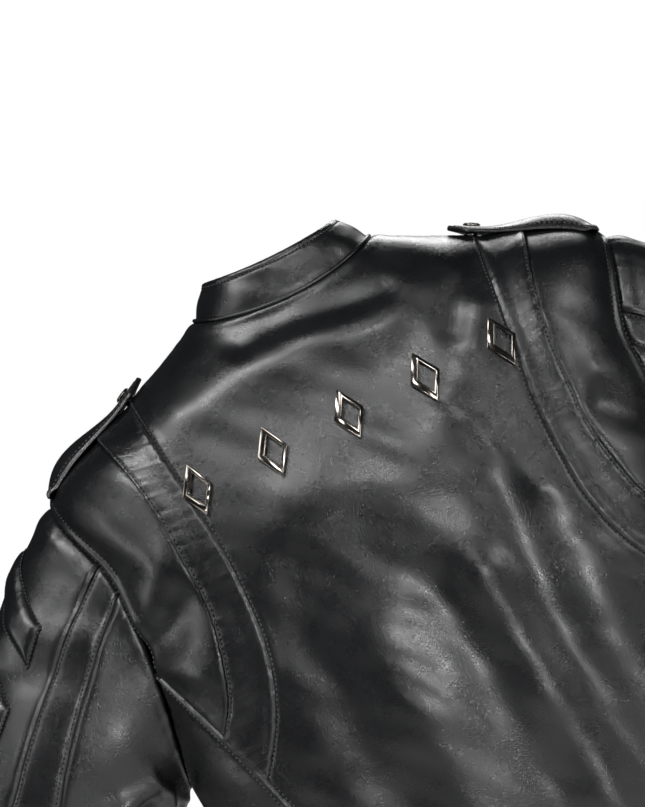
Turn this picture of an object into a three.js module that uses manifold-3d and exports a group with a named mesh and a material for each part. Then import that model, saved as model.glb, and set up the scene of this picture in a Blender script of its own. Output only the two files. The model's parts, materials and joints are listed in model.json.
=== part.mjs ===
// Leather riding jacket in its worn shape, standing on its hem.
// Millimetres, +Z up, the back faces -Y, the wearer's right is +X, the hem stands on z = 0.
import * as THREE from 'three';
import { mergeVertices } from 'three/addons/utils/BufferGeometryUtils.js';
import Module from 'manifold-3d';

const wasm = await Module();
wasm.setup();

// ---- driving dimensions -----------------------------------------------------------------------

const shellThickness = 2.2; // leather with its interlining
const liningThickness = 0.8;
const liningDepth = 5.2; // outer face of the lining, below the outer face of the leather
const bandThickness = liningDepth + liningThickness; // hem, collar and cuffs close over shell and lining
const seamGap = 0.2; // each panel stops this far from its seam line
const seatGap = 0.3; // between a piece and the surface that it lies on
const zipSeatGap = 0.5; // under a long zip that crosses the curve of its panel

const squareness = 0.12; // how much fuller than an ellipse the body is
const hemHeight = 45;
const underarmLevel = 345;
const shoulderTipLevel = 578;
const neckLevel = 753;
const collarHeight = 33; // at the centre back
const collarFall = 0.27; // how much lower it stands at the sides, as a share
const collarNarrowing = 0.24;

// The body from hem to neck. Level is the height up the side, then the way in along the shoulder.
const bodyStations = [
  { level: 0, side: 0, back: 0, front: 0, half: 205, backDepth: 109, frontDepth: 122 },
  { level: 45, side: 45, back: 45, front: 45, half: 205, backDepth: 109, frontDepth: 123.05 },
  { level: 120, side: 120, back: 120, front: 120, half: 204, backDepth: 108, frontDepth: 124.79 },
  { level: 230, side: 230, back: 230, front: 230, half: 214, backDepth: 115, frontDepth: 127.35 },
  { level: underarmLevel, side: 345, back: 345, front: 345, half: 226, backDepth: 122, frontDepth: 130.02 },
  { level: 395, side: 395, back: 395, front: 395, half: 225, backDepth: 122.6, frontDepth: 131.19 },
  { level: 430, side: 430, back: 430, front: 430, half: 224, backDepth: 122, frontDepth: 132 },
  { level: 510, side: 510, back: 503, front: 500, half: 224, backDepth: 115, frontDepth: 118 },
  { level: shoulderTipLevel, side: 578, back: 556, front: 548, half: 229, backDepth: 98, frontDepth: 96 },
  { level: 665, side: 618, back: 604, front: 573, half: 150, backDepth: 80, frontDepth: 82 },
  { level: neckLevel, side: 655, back: 640, front: 590, half: 72, backDepth: 56, frontDepth: 68 },
];

// Seams of the back, as the distance from the centre line at a level.
const bandInnerSeam = [
  { level: 290, x: 205 }, { level: 335, x: 166 }, { level: 361, x: 148 }, { level: 386, x: 136 },
  { level: 419, x: 127 }, { level: 458, x: 124 }, { level: 498, x: 124.5 }, { level: 540, x: 129 },
  { level: shoulderTipLevel, x: 133 }, { level: 680, x: 142 },
];
const bandOuterSeam = [
  { level: 350, x: 200 }, { level: 370, x: 184 }, { level: 384, x: 173 }, { level: 434, x: 155 },
  { level: 505, x: 152 }, { level: 564, x: 158 }, { level: 640, x: 176 }, { level: 680, x: 190 },
];
const sideSeam = [
  { level: 0, x: 118 }, { level: 150, x: 124 }, { level: 298, x: 159 }, { level: 370, x: 184 },
  { level: 430, x: 208 },
];
const frontEdge = [
  { level: 0, x: 9 }, { level: 390, x: 9 }, { level: 410, x: 9 }, { level: 430, x: 9.4 },
  { level: 510, x: 16 },
  { level: shoulderTipLevel, x: 26 }, { level: neckLevel, x: 42 },
];

const armholeBackAngle = 24;
const armholeFrontAngle = 30;
const armholeFullness = 0.15;

// The sleeve from the ring below the armhole to the cuff, by distance along its axis.
const sleeveFirstRing = new THREE.Vector3(317, 4, 380);
const sleeveAngle = 47; // from straight down, in the plane of the back
const elbowBend = 14; // forwards
const sleeveLength = 440;
const cuffLength = 48;
const sleeveStations = [
  { at: 0, tall: 84, deep: 64 }, { at: 150, tall: 62, deep: 56 }, { at: 295, tall: 52, deep: 47 },
  { at: sleeveLength, tall: 42, deep: 38 },
];
const stripeStart = 68; // degrees round the sleeve from its upper line, towards the back
const stripeEnd = 92;
const underSeam = 252;
const topColumns = 12; // of the sleeve's top panel, of which the quilted patch covers the middle ones
const patchColumns = { from: 3, to: 11 };
const patchStart = 4;
const patchLength = 146;
const patchThickness = 3;

const zipTapeWidth = 8;
const frontZipStart = 20;
const frontZipRest = 390; // where the slider waits, and the front falls open above it
const pocketZip = { bottom: 95, top: 230, bottomX: 146, topX: 112, width: 14 };
const cuffZip = { start: 285, end: sleeveLength - cuffLength - 2, angle: 125, width: 12 };
const tapeThickness = 1.3;

const strap = { length: 112, width: 46, thickness: 3.2, cutCorner: 13, arch: 11, snapFromEnd: 18 };
const strapLevel = 584; // of the strap's sewn end, just inside the armhole seam
const snapRadius = 6.5;
const snapHeight = 2.4;
const badge = { tall: 42, wide: 24, thickness: 2.4, bar: 5.5, level: 553, spacing: 61, rise: 7 };

// ---- materials --------------------------------------------------------------------------------

const leather = new THREE.MeshStandardMaterial({ color: 0x1b1c1e, roughness: 0.42, metalness: 0 });
const lining = new THREE.MeshStandardMaterial({ color: 0x141416, roughness: 0.6, metalness: 0 });
const darkMetal = new THREE.MeshStandardMaterial({ color: 0x6b6560, roughness: 0.18, metalness: 1 });
const zipTape = new THREE.MeshStandardMaterial({ color: 0x101012, roughness: 0.8, metalness: 0 });

// ---- smooth tables and small vector helpers ---------------------------------------------------

const radians = THREE.MathUtils.degToRad;

// A value of a table at a place, on one smooth curve through the table's entries.
function smooth(table, key, value, place) {
  const last = table.length - 1;
  const at = THREE.MathUtils.clamp(place, table[0][key], table[last][key]);
  let i = 0;
  while (i < last - 1 && at > table[i + 1][key]) i++;
  const slope = (j) => (table[j + 1][value] - table[j][value]) / (table[j + 1][key] - table[j][key]);
  const tangent = (j) => {
    if (j === 0) return slope(0);
    if (j === last) return slope(last - 1);
    const before = table[j][key] - table[j - 1][key];
    const after = table[j + 1][key] - table[j][key];
    return (slope(j - 1) * after + slope(j) * before) / (before + after);
  };
  const span = table[i + 1][key] - table[i][key];
  const t = (at - table[i][key]) / span;
  return (2 * t ** 3 - 3 * t ** 2 + 1) * table[i][value]
    + (t ** 3 - 2 * t ** 2 + t) * span * tangent(i)
    + (3 * t ** 2 - 2 * t ** 3) * table[i + 1][value]
    + (t ** 3 - t ** 2) * span * tangent(i + 1);
}

// Where the two curves cross between two places, by halving.
function crossing(difference, from, to) {
  const sign = Math.sign(difference(from));
  let low = from;
  let high = to;
  for (let i = 0; i < 40; i++) {
    const middle = (low + high) / 2;
    if (Math.sign(difference(middle)) === sign) low = middle;
    else high = middle;
  }
  return (low + high) / 2;
}

const smoothStep = (t) => {
  const c = THREE.MathUtils.clamp(t, 0, 1);
  return c * c * (3 - 2 * c);
};

// ---- the body's surface -----------------------------------------------------------------------

const bodyValue = (name, level) => smooth(bodyStations, 'level', name, level);

// A point of the body: angle 0 is the wearer's right side, -90 the centre back and 90 the centre front.
function bodyPoint(angle, level) {
  const c = Math.cos(radians(angle));
  const s = Math.sin(radians(angle));
  const back = bodyValue('backDepth', level);
  const front = bodyValue('frontDepth', level);
  const middle = s < 0 ? bodyValue('back', level) : bodyValue('front', level);
  return new THREE.Vector3(
    bodyValue('half', level) * c * (1 + squareness * s * s),
    (front + back) / 2 * s * (1 + squareness * c * c) + (front - back) / 2 * s * s,
    bodyValue('side', level) * c * c + middle * s * s,
  );
}

// How far round from the side the body is at a distance x from the centre, from 0 to 90 degrees.
function angleAt(x, level) {
  const half = bodyValue('half', level);
  if (x >= half) return 0;
  const width = (angle) => {
    const s = Math.sin(radians(angle));
    return half * Math.cos(radians(angle)) * (1 + squareness * s * s);
  };
  return crossing((angle) => width(angle) - x, 0, 90);
}

const armholeMiddle = (shoulderTipLevel + underarmLevel) / 2;
const armholeHalf = (shoulderTipLevel - underarmLevel) / 2;

// The armhole's edge: turn 0 is the shoulder tip, 90 the back, 180 the underarm and 270 the front.
function armholeAt(turn) {
  const c = Math.cos(radians(turn));
  const s = Math.sin(radians(turn));
  const most = s > 0 ? armholeBackAngle : armholeFrontAngle;
  return { angle: -most * s * (1 + armholeFullness * c), level: armholeMiddle + armholeHalf * c };
}

// The armhole's edge at a level, in degrees from the side; 0 above and below the armhole.
function armholeAngle(level, turnSign) {
  const c = (level - armholeMiddle) / armholeHalf;
  if (Math.abs(c) >= 1) return 0;
  return Math.abs(armholeAt(turnSign * THREE.MathUtils.radToDeg(Math.acos(c))).angle);
}

// ---- the sleeve's surface, on the wearer's right ------------------------------------------------

const sleeveDown = new THREE.Vector3(Math.sin(radians(sleeveAngle)), 0, -Math.cos(radians(sleeveAngle)));
const sleeveUp = new THREE.Vector3(Math.cos(radians(sleeveAngle)), 0, Math.sin(radians(sleeveAngle)));
const forwards = new THREE.Vector3(0, 1, 0);
const armholeWayOut = new THREE.Vector3(0.88, 0, -0.47).normalize();

function sleeveAxis(at) {
  const step = 10;
  const bend = (d) => radians(elbowBend) * smoothStep((d - 90) / 120);
  const centre = sleeveFirstRing.clone();
  for (let d = 0; d < at; d += step) {
    const length = Math.min(step, at - d);
    const turned = bend(d + length / 2);
    centre.addScaledVector(sleeveDown, length * Math.cos(turned));
    centre.addScaledVector(forwards, length * Math.sin(turned));
  }
  const turned = bend(Math.max(at, 0));
  const [c, s] = [Math.cos(turned), Math.sin(turned)];
  const along = sleeveDown.clone().multiplyScalar(c).addScaledVector(forwards, s);
  const front = forwards.clone().multiplyScalar(c).addScaledVector(sleeveDown, -s);
  return { centre, along, front };
}

// A point of the sleeve below the first ring. Turn is as on the armhole.
function sleevePoint(turn, at) {
  const { centre, front } = sleeveAxis(at);
  const tall = smooth(sleeveStations, 'at', 'tall', at);
  const deep = smooth(sleeveStations, 'at', 'deep', at);
  return centre
    .addScaledVector(sleeveUp, tall * Math.cos(radians(turn)))
    .addScaledVector(front, -deep * Math.sin(radians(turn)));
}

// A point of the sleeve head: share 0 is on the armhole and 1 on the first ring.
function sleeveHeadPoint(turn, share) {
  const edge = armholeAt(turn);
  const from = bodyPoint(edge.angle, edge.level);
  const to = sleevePoint(turn, 0);
  const reach = from.distanceTo(to);
  const t = share;
  return from.clone().multiplyScalar(2 * t ** 3 - 3 * t ** 2 + 1)
    .addScaledVector(armholeWayOut, (t ** 3 - 2 * t ** 2 + t) * reach * 0.8)
    .addScaledVector(to, 3 * t ** 2 - 2 * t ** 3)
    .addScaledVector(sleeveDown, (t ** 3 - t ** 2) * reach * 0.9);
}

// ---- closed shells ----------------------------------------------------------------------------

// The outward normal of a surface given by two numbers.
function normalOf(surface, a, b, stepA, stepB) {
  const acrossA = surface(a + stepA, b).sub(surface(a - stepA, b));
  const acrossB = surface(a, b + stepB).sub(surface(a, b - stepB));
  return acrossA.cross(acrossB).normalize();
}

// A closed solid from a grid of outer points and the matching inner points.
// Round says that each row closes on itself, as on a tube.
function closedGrid(outer, inner, round = false) {
  const rows = outer.length;
  const columns = outer[0].length;
  const points = [...outer.flat(), ...inner.flat()];
  const under = rows * columns;
  const faces = [];
  const quad = (a, b, c, d) => faces.push(a, b, c, a, c, d);
  const at = (i, j) => i * columns + (j % columns);
  const lastColumn = round ? columns : columns - 1;
  for (let i = 0; i < rows - 1; i++) {
    for (let j = 0; j < lastColumn; j++) {
      quad(at(i, j), at(i, j + 1), at(i + 1, j + 1), at(i + 1, j));
      quad(under + at(i, j), under + at(i + 1, j), under + at(i + 1, j + 1), under + at(i, j + 1));
    }
  }
  for (let j = 0; j < lastColumn; j++) {
    quad(at(0, j), under + at(0, j), under + at(0, j + 1), at(0, j + 1));
    quad(at(rows - 1, j), at(rows - 1, j + 1), under + at(rows - 1, j + 1), under + at(rows - 1, j));
  }
  for (let i = 0; i < rows - 1 && !round; i++) {
    const j = columns - 1;
    quad(at(i, 0), at(i + 1, 0), under + at(i + 1, 0), under + at(i, 0));
    quad(at(i, j), under + at(i, j), under + at(i + 1, j), at(i + 1, j));
  }
  let volume = 0;
  for (let f = 0; f < faces.length; f += 3) {
    const [a, b, c] = [0, 1, 2].map((k) => points[faces[f + k]]);
    volume += a.dot(b.clone().cross(c));
  }
  if (volume < 0) faces.reverse();
  const geometry = new THREE.BufferGeometry().setFromPoints(points);
  geometry.setIndex(faces);
  return geometry;
}

// The surface moved out along its normal.
function lifted(surface, a, b, height, steps) {
  return surface(a, b).addScaledVector(normalOf(surface, a, b, ...steps), height * steps.outward);
}

const bodySteps = Object.assign([0.5, 1], { outward: 1 });
const sleeveSteps = Object.assign([0.5, 1], { outward: 1 });

// A panel between two edges of a surface: rows run from one place to the next,
// and edges(row) gives the two ends.
function panelGrid(surface, steps, rows, edges, columns, outerLift, innerLift, mirrored) {
  const outer = [];
  const inner = [];
  rows.forEach((row) => {
    const [from, to] = edges(row);
    const width = surface(from, row).distanceTo(surface(to, row));
    const trim = (to - from) * seamGap / Math.max(width, 1);
    const swept = to - from - 2 * trim;
    const angles = Array.from({ length: columns + 1 }, (_, j) => from + trim + swept * j / columns);
    outer.push(angles.map((angle) => lifted(surface, angle, row, outerLift, steps)));
    inner.push(angles.map((angle) => lifted(surface, angle, row, innerLift, steps)));
  });
  if (mirrored) [...outer.flat(), ...inner.flat()].forEach((p) => { p.x = -p.x; });
  return closedGrid(outer, inner);
}

const jacket = new THREE.Group();

function add(name, geometry, material, parent = jacket) {
  const mesh = new THREE.Mesh(geometry, material);
  mesh.name = name;
  parent.add(mesh);
  return mesh;
}

const bothSides = [{ side: 'right', mirrored: false, sign: 1 }, { side: 'left', mirrored: true, sign: -1 }];

// ---- body panels ------------------------------------------------------------------------------

const seamX = (seam, level) => smooth(seam, 'level', 'x', level);
const halfWidth = (level) => bodyValue('half', level);

const bandFoot = crossing((l) => seamX(sideSeam, l) - seamX(bandInnerSeam, l), 320, 345);
const bandOuterFoot = crossing((l) => seamX(sideSeam, l) - seamX(bandOuterSeam, l), 360, 384);
const sideSeamTop = crossing((l) => angleAt(seamX(sideSeam, l), l) - armholeAngle(l, 1), 390, 430);
const bandOuterTop = crossing((l) => halfWidth(l) - seamX(bandOuterSeam, l), 590, 679);
const bandInnerTop = crossing((l) => halfWidth(l) - seamX(bandInnerSeam, l), 590, 679);
const pinch = 5; // a panel's pointed end stops this far from its point

const turnStep = 15; // round the armhole and the sleeve head
const armholeLevels = Array.from({ length: 180 / turnStep + 1 }, (_, k) => armholeAt(turnStep * k).level);
const levels = [
  hemHeight, 95, 140, 185, 230, 285, bandFoot, bandFoot + pinch, ...armholeLevels, bandOuterFoot,
  bandOuterFoot + pinch, sideSeamTop - pinch, sideSeamTop, 592, 606, 620, 655,
  bandOuterTop - pinch, bandOuterTop, bandInnerTop - pinch, bandInnerTop, 715, neckLevel,
].sort((a, b) => a - b);

// The shared rows between two levels, with the ends drawn in by the seam gap.
function rowsBetween(from, to) {
  const inside = levels.filter((l) => l > from + 1.5 && l < to - 1.5);
  return [from + seamGap, ...inside, to - seamGap];
}

const backEdgeOfSide = (level) => -armholeAngle(level, 1);
const sideSeamAngle = (level) => (level < sideSeamTop ? angleAt(seamX(sideSeam, level), level) : 0);
const bandInnerAngle = (level) => (level >= bandFoot ? angleAt(seamX(bandInnerSeam, level), level) : 0);
const bandOuterAngle = (level) => (level >= bandOuterFoot ? angleAt(seamX(bandOuterSeam, level), level) : 0);
const frontEdgeAngle = (level) => angleAt(seamX(frontEdge, level), level);

const backSpan = (level) => {
  const edge = level < bandFoot ? sideSeamAngle(level) : bandInnerAngle(level);
  return [-180 + edge, -edge];
};
const bandSpan = (level) => [-bandInnerAngle(level), -Math.max(bandOuterAngle(level), sideSeamAngle(level))];
const shoulderSpan = (level) => [
  -bandOuterAngle(level), -Math.max(sideSeamAngle(level), armholeAngle(level, 1)),
];
const backSideSpan = (level) => [-sideSeamAngle(level), backEdgeOfSide(level)];
const frontSpan = (level) => [armholeAngle(level, -1), frontEdgeAngle(level)];

function bodyPanel(
  name, from, to, span, columns, mirrored = false, material = leather, lifts = [0, -shellThickness],
) {
  const grid = panelGrid(bodyPoint, bodySteps, rowsBetween(from, to), span, columns, ...lifts, mirrored);
  return add(name, grid, material);
}

bodyPanel('back_panel', hemHeight, neckLevel, backSpan, 18);
for (const { side, mirrored } of bothSides) {
  bodyPanel(`back_band_${side}`, bandFoot + pinch, bandInnerTop - pinch, bandSpan, 4, mirrored);
  bodyPanel(`shoulder_panel_${side}`, bandOuterFoot + pinch, bandOuterTop - pinch, shoulderSpan, 6, mirrored);
  bodyPanel(`side_panel_${side}`, hemHeight, sideSeamTop - pinch, backSideSpan, 4, mirrored);
  bodyPanel(`front_panel_${side}`, hemHeight, neckLevel, frontSpan, 10, mirrored);
}

// The hem band and the stand collar close over the shell and the lining.
const hemRows = [0, hemHeight - seamGap];
function hemPiece(name, span, columns, mirrored = false) {
  add(name, panelGrid(bodyPoint, bodySteps, hemRows, span, columns, 0, -bandThickness, mirrored), leather);
}
hemPiece('hem_band_back', () => [-180, 0], 20);
for (const { side, mirrored } of bothSides) {
  hemPiece(`hem_band_front_${side}`, (level) => [0, frontEdgeAngle(level)], 9, mirrored);
}

// A point of the stand collar, by height above the neck seam.
function collarPoint(angle, height) {
  const share = height / collarHeight;
  const foot = bodyPoint(angle, neckLevel);
  const fallen = 1 - collarFall * Math.cos(THREE.MathUtils.degToRad(angle)) ** 2;
  const x = foot.x * (1 - collarNarrowing * share);
  return new THREE.Vector3(x, foot.y * (1 - 0.03 * share) + 3 * share, foot.z + height * fallen);
}
const collarEnd = frontEdgeAngle(neckLevel);
const collarSpan = () => [-180 - collarEnd, collarEnd];
const collarRows = [seamGap, collarHeight / 2, collarHeight];
const collarGrid = panelGrid(collarPoint, bodySteps, collarRows, collarSpan, 26, 0, -bandThickness, false);
add('stand_collar', collarGrid, leather);

// The lining hangs between the hem band and the collar, clear of the front zip.
const liningLifts = [-liningDepth, -bandThickness];
const liningClearance = 14; // from the front edge, so that the zip slider's back plate runs free
function liningPanel(name, span, columns, mirrored = false) {
  const rows = rowsBetween(hemHeight, neckLevel);
  add(name, panelGrid(bodyPoint, bodySteps, rows, span, columns, ...liningLifts, mirrored), lining);
}
liningPanel('lining_back', (level) => [-180 + armholeAngle(level, 1), -armholeAngle(level, 1)], 18);
for (const { side, mirrored } of bothSides) {
  const edge = (level) => angleAt(seamX(frontEdge, level) + liningClearance, level);
  liningPanel(`lining_front_${side}`, (level) => [armholeAngle(level, -1), edge(level)], 8, mirrored);
}

// ---- zips -------------------------------------------------------------------------------------

const zipRows = [frontZipStart, ...levels.slice(0, -1), neckLevel - 2];
for (const { side, mirrored } of bothSides) {
  const span = (level) => {
    const x = seamX(frontEdge, level);
    return [angleAt(x - seamGap, level), angleAt(x - seamGap - zipTapeWidth, level)];
  };
  const grid = panelGrid(bodyPoint, bodySteps, zipRows, span, 1, -0.3, -0.3 - tapeThickness, mirrored);
  add(`front_zip_tape_${side}`, grid, zipTape);
}

for (const { side, mirrored } of bothSides) {
  const middle = (level) => THREE.MathUtils.mapLinear(
    level, pocketZip.bottom, pocketZip.top, pocketZip.bottomX, pocketZip.topX,
  );
  const span = (level) => [
    angleAt(middle(level) + pocketZip.width / 2, level), angleAt(middle(level) - pocketZip.width / 2, level),
  ];
  const rows = levels.filter((l) => l >= pocketZip.bottom && l <= pocketZip.top);
  const outer = zipSeatGap + tapeThickness;
  const grid = panelGrid(bodyPoint, bodySteps, rows, span, 2, outer, zipSeatGap, mirrored);
  add(`pocket_zip_${side}`, grid, zipTape);
}

function asSolid(geometry) {
  const bare = geometry.clone();
  bare.deleteAttribute('normal');
  bare.deleteAttribute('uv');
  const merged = mergeVertices(bare, 1e-4);
  return new wasm.Manifold(new wasm.Mesh({
    numProp: 3,
    vertProperties: merged.attributes.position.array,
    triVerts: new Uint32Array(merged.index.array),
  }));
}

function asGeometry(solid) {
  const { vertProperties, triVerts } = solid.getMesh();
  const geometry = new THREE.BufferGeometry();
  geometry.setAttribute('position', new THREE.BufferAttribute(vertProperties, 3));
  geometry.setIndex(new THREE.BufferAttribute(triVerts, 1));
  return geometry;
}

const sliderShape = { width: 9.5, length: 18, plate: 1.8, web: 0.5, eyeAt: 4.5 };
const bridge = { width: 3, foot: 1.2, inside: 4, clear: 2.5, top: 0.9 }; // the loop that holds the pull
const pullShape = { width: 8, length: 30, thickness: 1.4, bar: 1.4, hole: 3.5 };
const barHeight = bridge.clear / 2; // of the pull's bar above the slider's front plate
const wholeTape = tapeThickness + 2.4 * seatGap; // the space between a slider's plates

// A plate with its point towards -Z, lying from y to y + thickness.
function sliderPlate(y, thickness) {
  const { width, length } = sliderShape;
  const outline = new THREE.Shape();
  outline.moveTo(-width / 2, length / 2);
  outline.lineTo(-width * 0.32, -length / 2);
  outline.lineTo(width * 0.32, -length / 2);
  outline.lineTo(width / 2, length / 2);
  outline.closePath();
  const plate = new THREE.ExtrudeGeometry(outline, { depth: thickness, bevelEnabled: false });
  return asSolid(plate.rotateX(Math.PI / 2).translate(0, y + thickness, 0));
}

// A slider with its length along Z and its front plate towards +Y, and the bridge on the front plate.
function sliderGeometry(twoPlates) {
  const { length, plate, web, eyeAt } = sliderShape;
  const { width, foot, inside, clear, top } = bridge;
  const sunk = 0.4; // into the plate
  const outer = new THREE.BoxGeometry(width, clear + top + sunk, inside + 2 * foot);
  const hollow = new THREE.BoxGeometry(width + 1, clear, inside).translate(0, plate + clear / 2, eyeAt);
  let body = asSolid(outer.translate(0, plate + (clear + top - sunk) / 2, eyeAt)).subtract(asSolid(hollow));
  body = body.add(sliderPlate(0, plate));
  if (twoPlates) {
    const webBox = new THREE.BoxGeometry(web, wholeTape + 1, length * 0.5);
    webBox.translate(0, -wholeTape / 2, length / 8);
    body = body.add(asSolid(webBox)).add(sliderPlate(-wholeTape - plate, plate));
  }
  return asGeometry(body);
}

// A pull that hangs from the middle of its bar at the origin.
function pullGeometry() {
  const { width, length, thickness, bar, hole } = pullShape;
  const eye = bridge.width / 2 + 0.5;
  const outline = new THREE.Shape();
  outline.moveTo(-width / 2 + 1.5, -length);
  outline.lineTo(width / 2 - 1.5, -length);
  outline.lineTo(width / 2, -length + 1.5);
  outline.lineTo(eye + bar, bar / 2);
  outline.lineTo(-eye - bar, bar / 2);
  outline.lineTo(-width / 2, -length + 1.5);
  outline.closePath();
  const opening = new THREE.Path();
  opening.moveTo(-eye, -bar / 2 - hole);
  opening.lineTo(eye, -bar / 2 - hole);
  opening.lineTo(eye, -bar / 2);
  opening.lineTo(-eye, -bar / 2);
  opening.closePath();
  outline.holes.push(opening);
  const pull = new THREE.ExtrudeGeometry(outline, { depth: thickness, bevelEnabled: false });
  return pull.rotateX(Math.PI / 2).translate(0, thickness / 2, 0);
}

// Places a group at a point, with its Y along the outward normal and its Z along the zip.
function placed(point, outward, along) {
  const z = along.clone().normalize();
  const x = outward.clone().cross(z).normalize();
  const y = z.clone().cross(x);
  const holder = new THREE.Group();
  holder.position.copy(point);
  holder.quaternion.setFromRotationMatrix(new THREE.Matrix4().makeBasis(x, y, z));
  jacket.add(holder);
  return holder;
}

function mirror(v) {
  return new THREE.Vector3(-v.x, v.y, v.z);
}

function zipHardware(prefix, suffix, point, outward, along, twoPlates) {
  const holder = placed(point, outward, along);
  add(`${prefix}_slider${suffix}`, sliderGeometry(twoPlates), darkMetal, holder);
  const pull = add(`${prefix}_pull${suffix}`, pullGeometry(), darkMetal, holder);
  pull.position.set(0, sliderShape.plate + barHeight, sliderShape.eyeAt);
  pull.rotation.x = Math.max(0, Math.atan2(-outward.z, along.z)); // hangs straight down, or lies on the zip
}

// The front zip runs straight from the hem to its rest place, so its slider does too.
const zipFoot = bodyPoint(90, frontZipStart);
const zipHead = bodyPoint(90, frontZipRest);
const zipWay = zipHead.clone().sub(zipFoot).normalize();
const zipOut = new THREE.Vector3(0, 1, 0).addScaledVector(zipWay, -zipWay.y).normalize();
zipHardware('front_zip', '', zipHead.clone().addScaledVector(zipOut, 0.06), zipOut, zipWay, true);

for (const { side, mirrored } of bothSides) {
  const at = (level, x) => bodyPoint(angleAt(x, level), level);
  const foot = at(pocketZip.bottom, pocketZip.bottomX);
  const head = at(pocketZip.top, pocketZip.topX);
  const along = head.clone().sub(foot).normalize();
  const level = pocketZip.top - 14;
  const { bottom, top, bottomX, topX } = pocketZip;
  const x = THREE.MathUtils.mapLinear(level, bottom, top, bottomX, topX);
  const angle = angleAt(x, level);
  const outward = normalOf(bodyPoint, angle, level, ...bodySteps);
  outward.addScaledVector(along, -outward.dot(along)).normalize();
  const point = at(level, x).addScaledVector(outward, zipSeatGap + tapeThickness + 0.75);
  const turn = mirrored ? mirror : (v) => v;
  zipHardware('pocket_zip', `_${side}`, turn(point), turn(outward), turn(along), false);
}

// ---- sleeves ----------------------------------------------------------------------------------

const sleeveRows = [0, 50, 100, 150, 200, 245, cuffZip.start, 340, sleeveLength - cuffLength];
const headShares = [0, 0.25, 0.5, 0.75, 1];
const headGap = 0.5; // keeps the sleeve head off the armhole and the first ring
const headColumns = 360 / turnStep;

function tube(surfaceRows, lifts, mirrored) {
  const grids = lifts.map((lift) => surfaceRows.map((row) => Array.from({ length: headColumns }, (_, j) => {
    const point = row(360 * j / headColumns, lift);
    if (mirrored) point.x = -point.x;
    return point;
  })));
  return closedGrid(grids[0], grids[1], true);
}

for (const { side, mirrored } of bothSides) {
  const headRows = headShares.map((share) => (turn, lift) => {
    const trim = headGap / sleeveHeadPoint(turn, 0).distanceTo(sleeveHeadPoint(turn, 1));
    const inside = THREE.MathUtils.lerp(trim, 1 - trim, share);
    return lifted(sleeveHeadPoint, turn, inside, lift, Object.assign([0.5, 0.004], { outward: 1 }));
  });
  add(`sleeve_head_${side}`, tube(headRows, [0, -shellThickness], mirrored), leather);

  const panel = (name, from, to, columns, rows, lifts, material = leather) => add(
    `${name}_${side}`,
    panelGrid(sleevePoint, sleeveSteps, rows, () => [from, to], columns, ...lifts, mirrored),
    material,
  );
  const shell = [0, -shellThickness];
  const shellRows = [...sleeveRows.slice(0, -1), sleeveRows.at(-1) - seamGap];
  const topTurn = (column) => THREE.MathUtils.lerp(underSeam - 360, stripeStart, column / topColumns);
  panel('sleeve_top_panel', topTurn(0), topTurn(topColumns), topColumns, shellRows, shell);
  panel('sleeve_stripe', stripeStart, stripeEnd, 2, shellRows, shell);
  panel('sleeve_under_panel', stripeEnd, underSeam, 10, shellRows, shell);
  const patchRows = sleeveRows.filter((at) => at > patchStart && at < patchStart + patchLength);
  const { from, to } = patchColumns;
  panel('quilted_patch', topTurn(from), topTurn(to), to - from,
    [patchStart, ...patchRows, patchStart + patchLength], [seatGap + patchThickness, seatGap]);
  const liningRing = (at) => (turn, lift) => lifted(sleevePoint, turn, at, lift, sleeveSteps);
  const liningRings = [6, ...sleeveRows.slice(1, -1), sleeveLength - cuffLength - seamGap].map(liningRing);
  add(`sleeve_lining_${side}`, tube(liningRings, liningLifts, mirrored), lining);
  const cuffRings = [sleeveLength - cuffLength, sleeveLength].map(liningRing);
  add(`cuff_${side}`, tube(cuffRings, [0, -bandThickness], mirrored), leather);

  const halfTurn = THREE.MathUtils.radToDeg(cuffZip.width / 2 / 45);
  const tapeRows = [cuffZip.start, 340, cuffZip.end];
  panel('cuff_zip', cuffZip.angle - halfTurn, cuffZip.angle + halfTurn, 2, tapeRows,
    [seatGap + tapeThickness, seatGap], zipTape);

  const at = cuffZip.start + 14;
  const along = sleevePoint(cuffZip.angle, cuffZip.start);
  along.sub(sleevePoint(cuffZip.angle, cuffZip.end)).normalize();
  const outward = normalOf(sleevePoint, cuffZip.angle, at, ...sleeveSteps);
  outward.addScaledVector(along, -outward.dot(along)).normalize();
  const point = sleevePoint(cuffZip.angle, at).addScaledVector(outward, seatGap + tapeThickness + 0.75);
  const turn = mirrored ? mirror : (v) => v;
  zipHardware('cuff_zip', `_${side}`, turn(point), turn(outward), turn(along), false);
}

// ---- epaulettes, their snaps, the collar tab ---------------------------------------------------

function domeGeometry(radius, height) {
  const profile = [
    new THREE.Vector2(0, 0), new THREE.Vector2(radius, 0), new THREE.Vector2(radius, height * 0.4),
    new THREE.Vector2(radius * 0.75, height * 0.85), new THREE.Vector2(0, height),
  ];
  return new THREE.LatheGeometry(profile, 16).rotateX(Math.PI / 2);
}

// A strap along -X from its sewn end, its width along Y, that arches up between its sewn end and its snap.
function strapGeometry({ length, width, thickness, cutCorner, arch, snapFromEnd }) {
  const tip = length - cutCorner;
  const archEnd = length - snapFromEnd - snapRadius - 1; // flat under the snap
  const places = [0, 0.12, 0.25, 0.4, 0.6, 0.8, 1].map((share) => share * archEnd).concat([tip, length]);
  const heights = (way) => {
    const t = Math.min(way / archEnd, 1);
    return arch * 6.75 * t * (1 - t) ** 2;
  };
  const halfAt = (way) => (way > tip ? width / 2 - (way - tip) : width / 2);
  const layer = (lift) => places.map((way) => [-1, 0, 1].map((edge) => new THREE.Vector3(
    -way, edge * halfAt(way), heights(way) + lift,
  )));
  return closedGrid(layer(thickness), layer(0));
}

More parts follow.
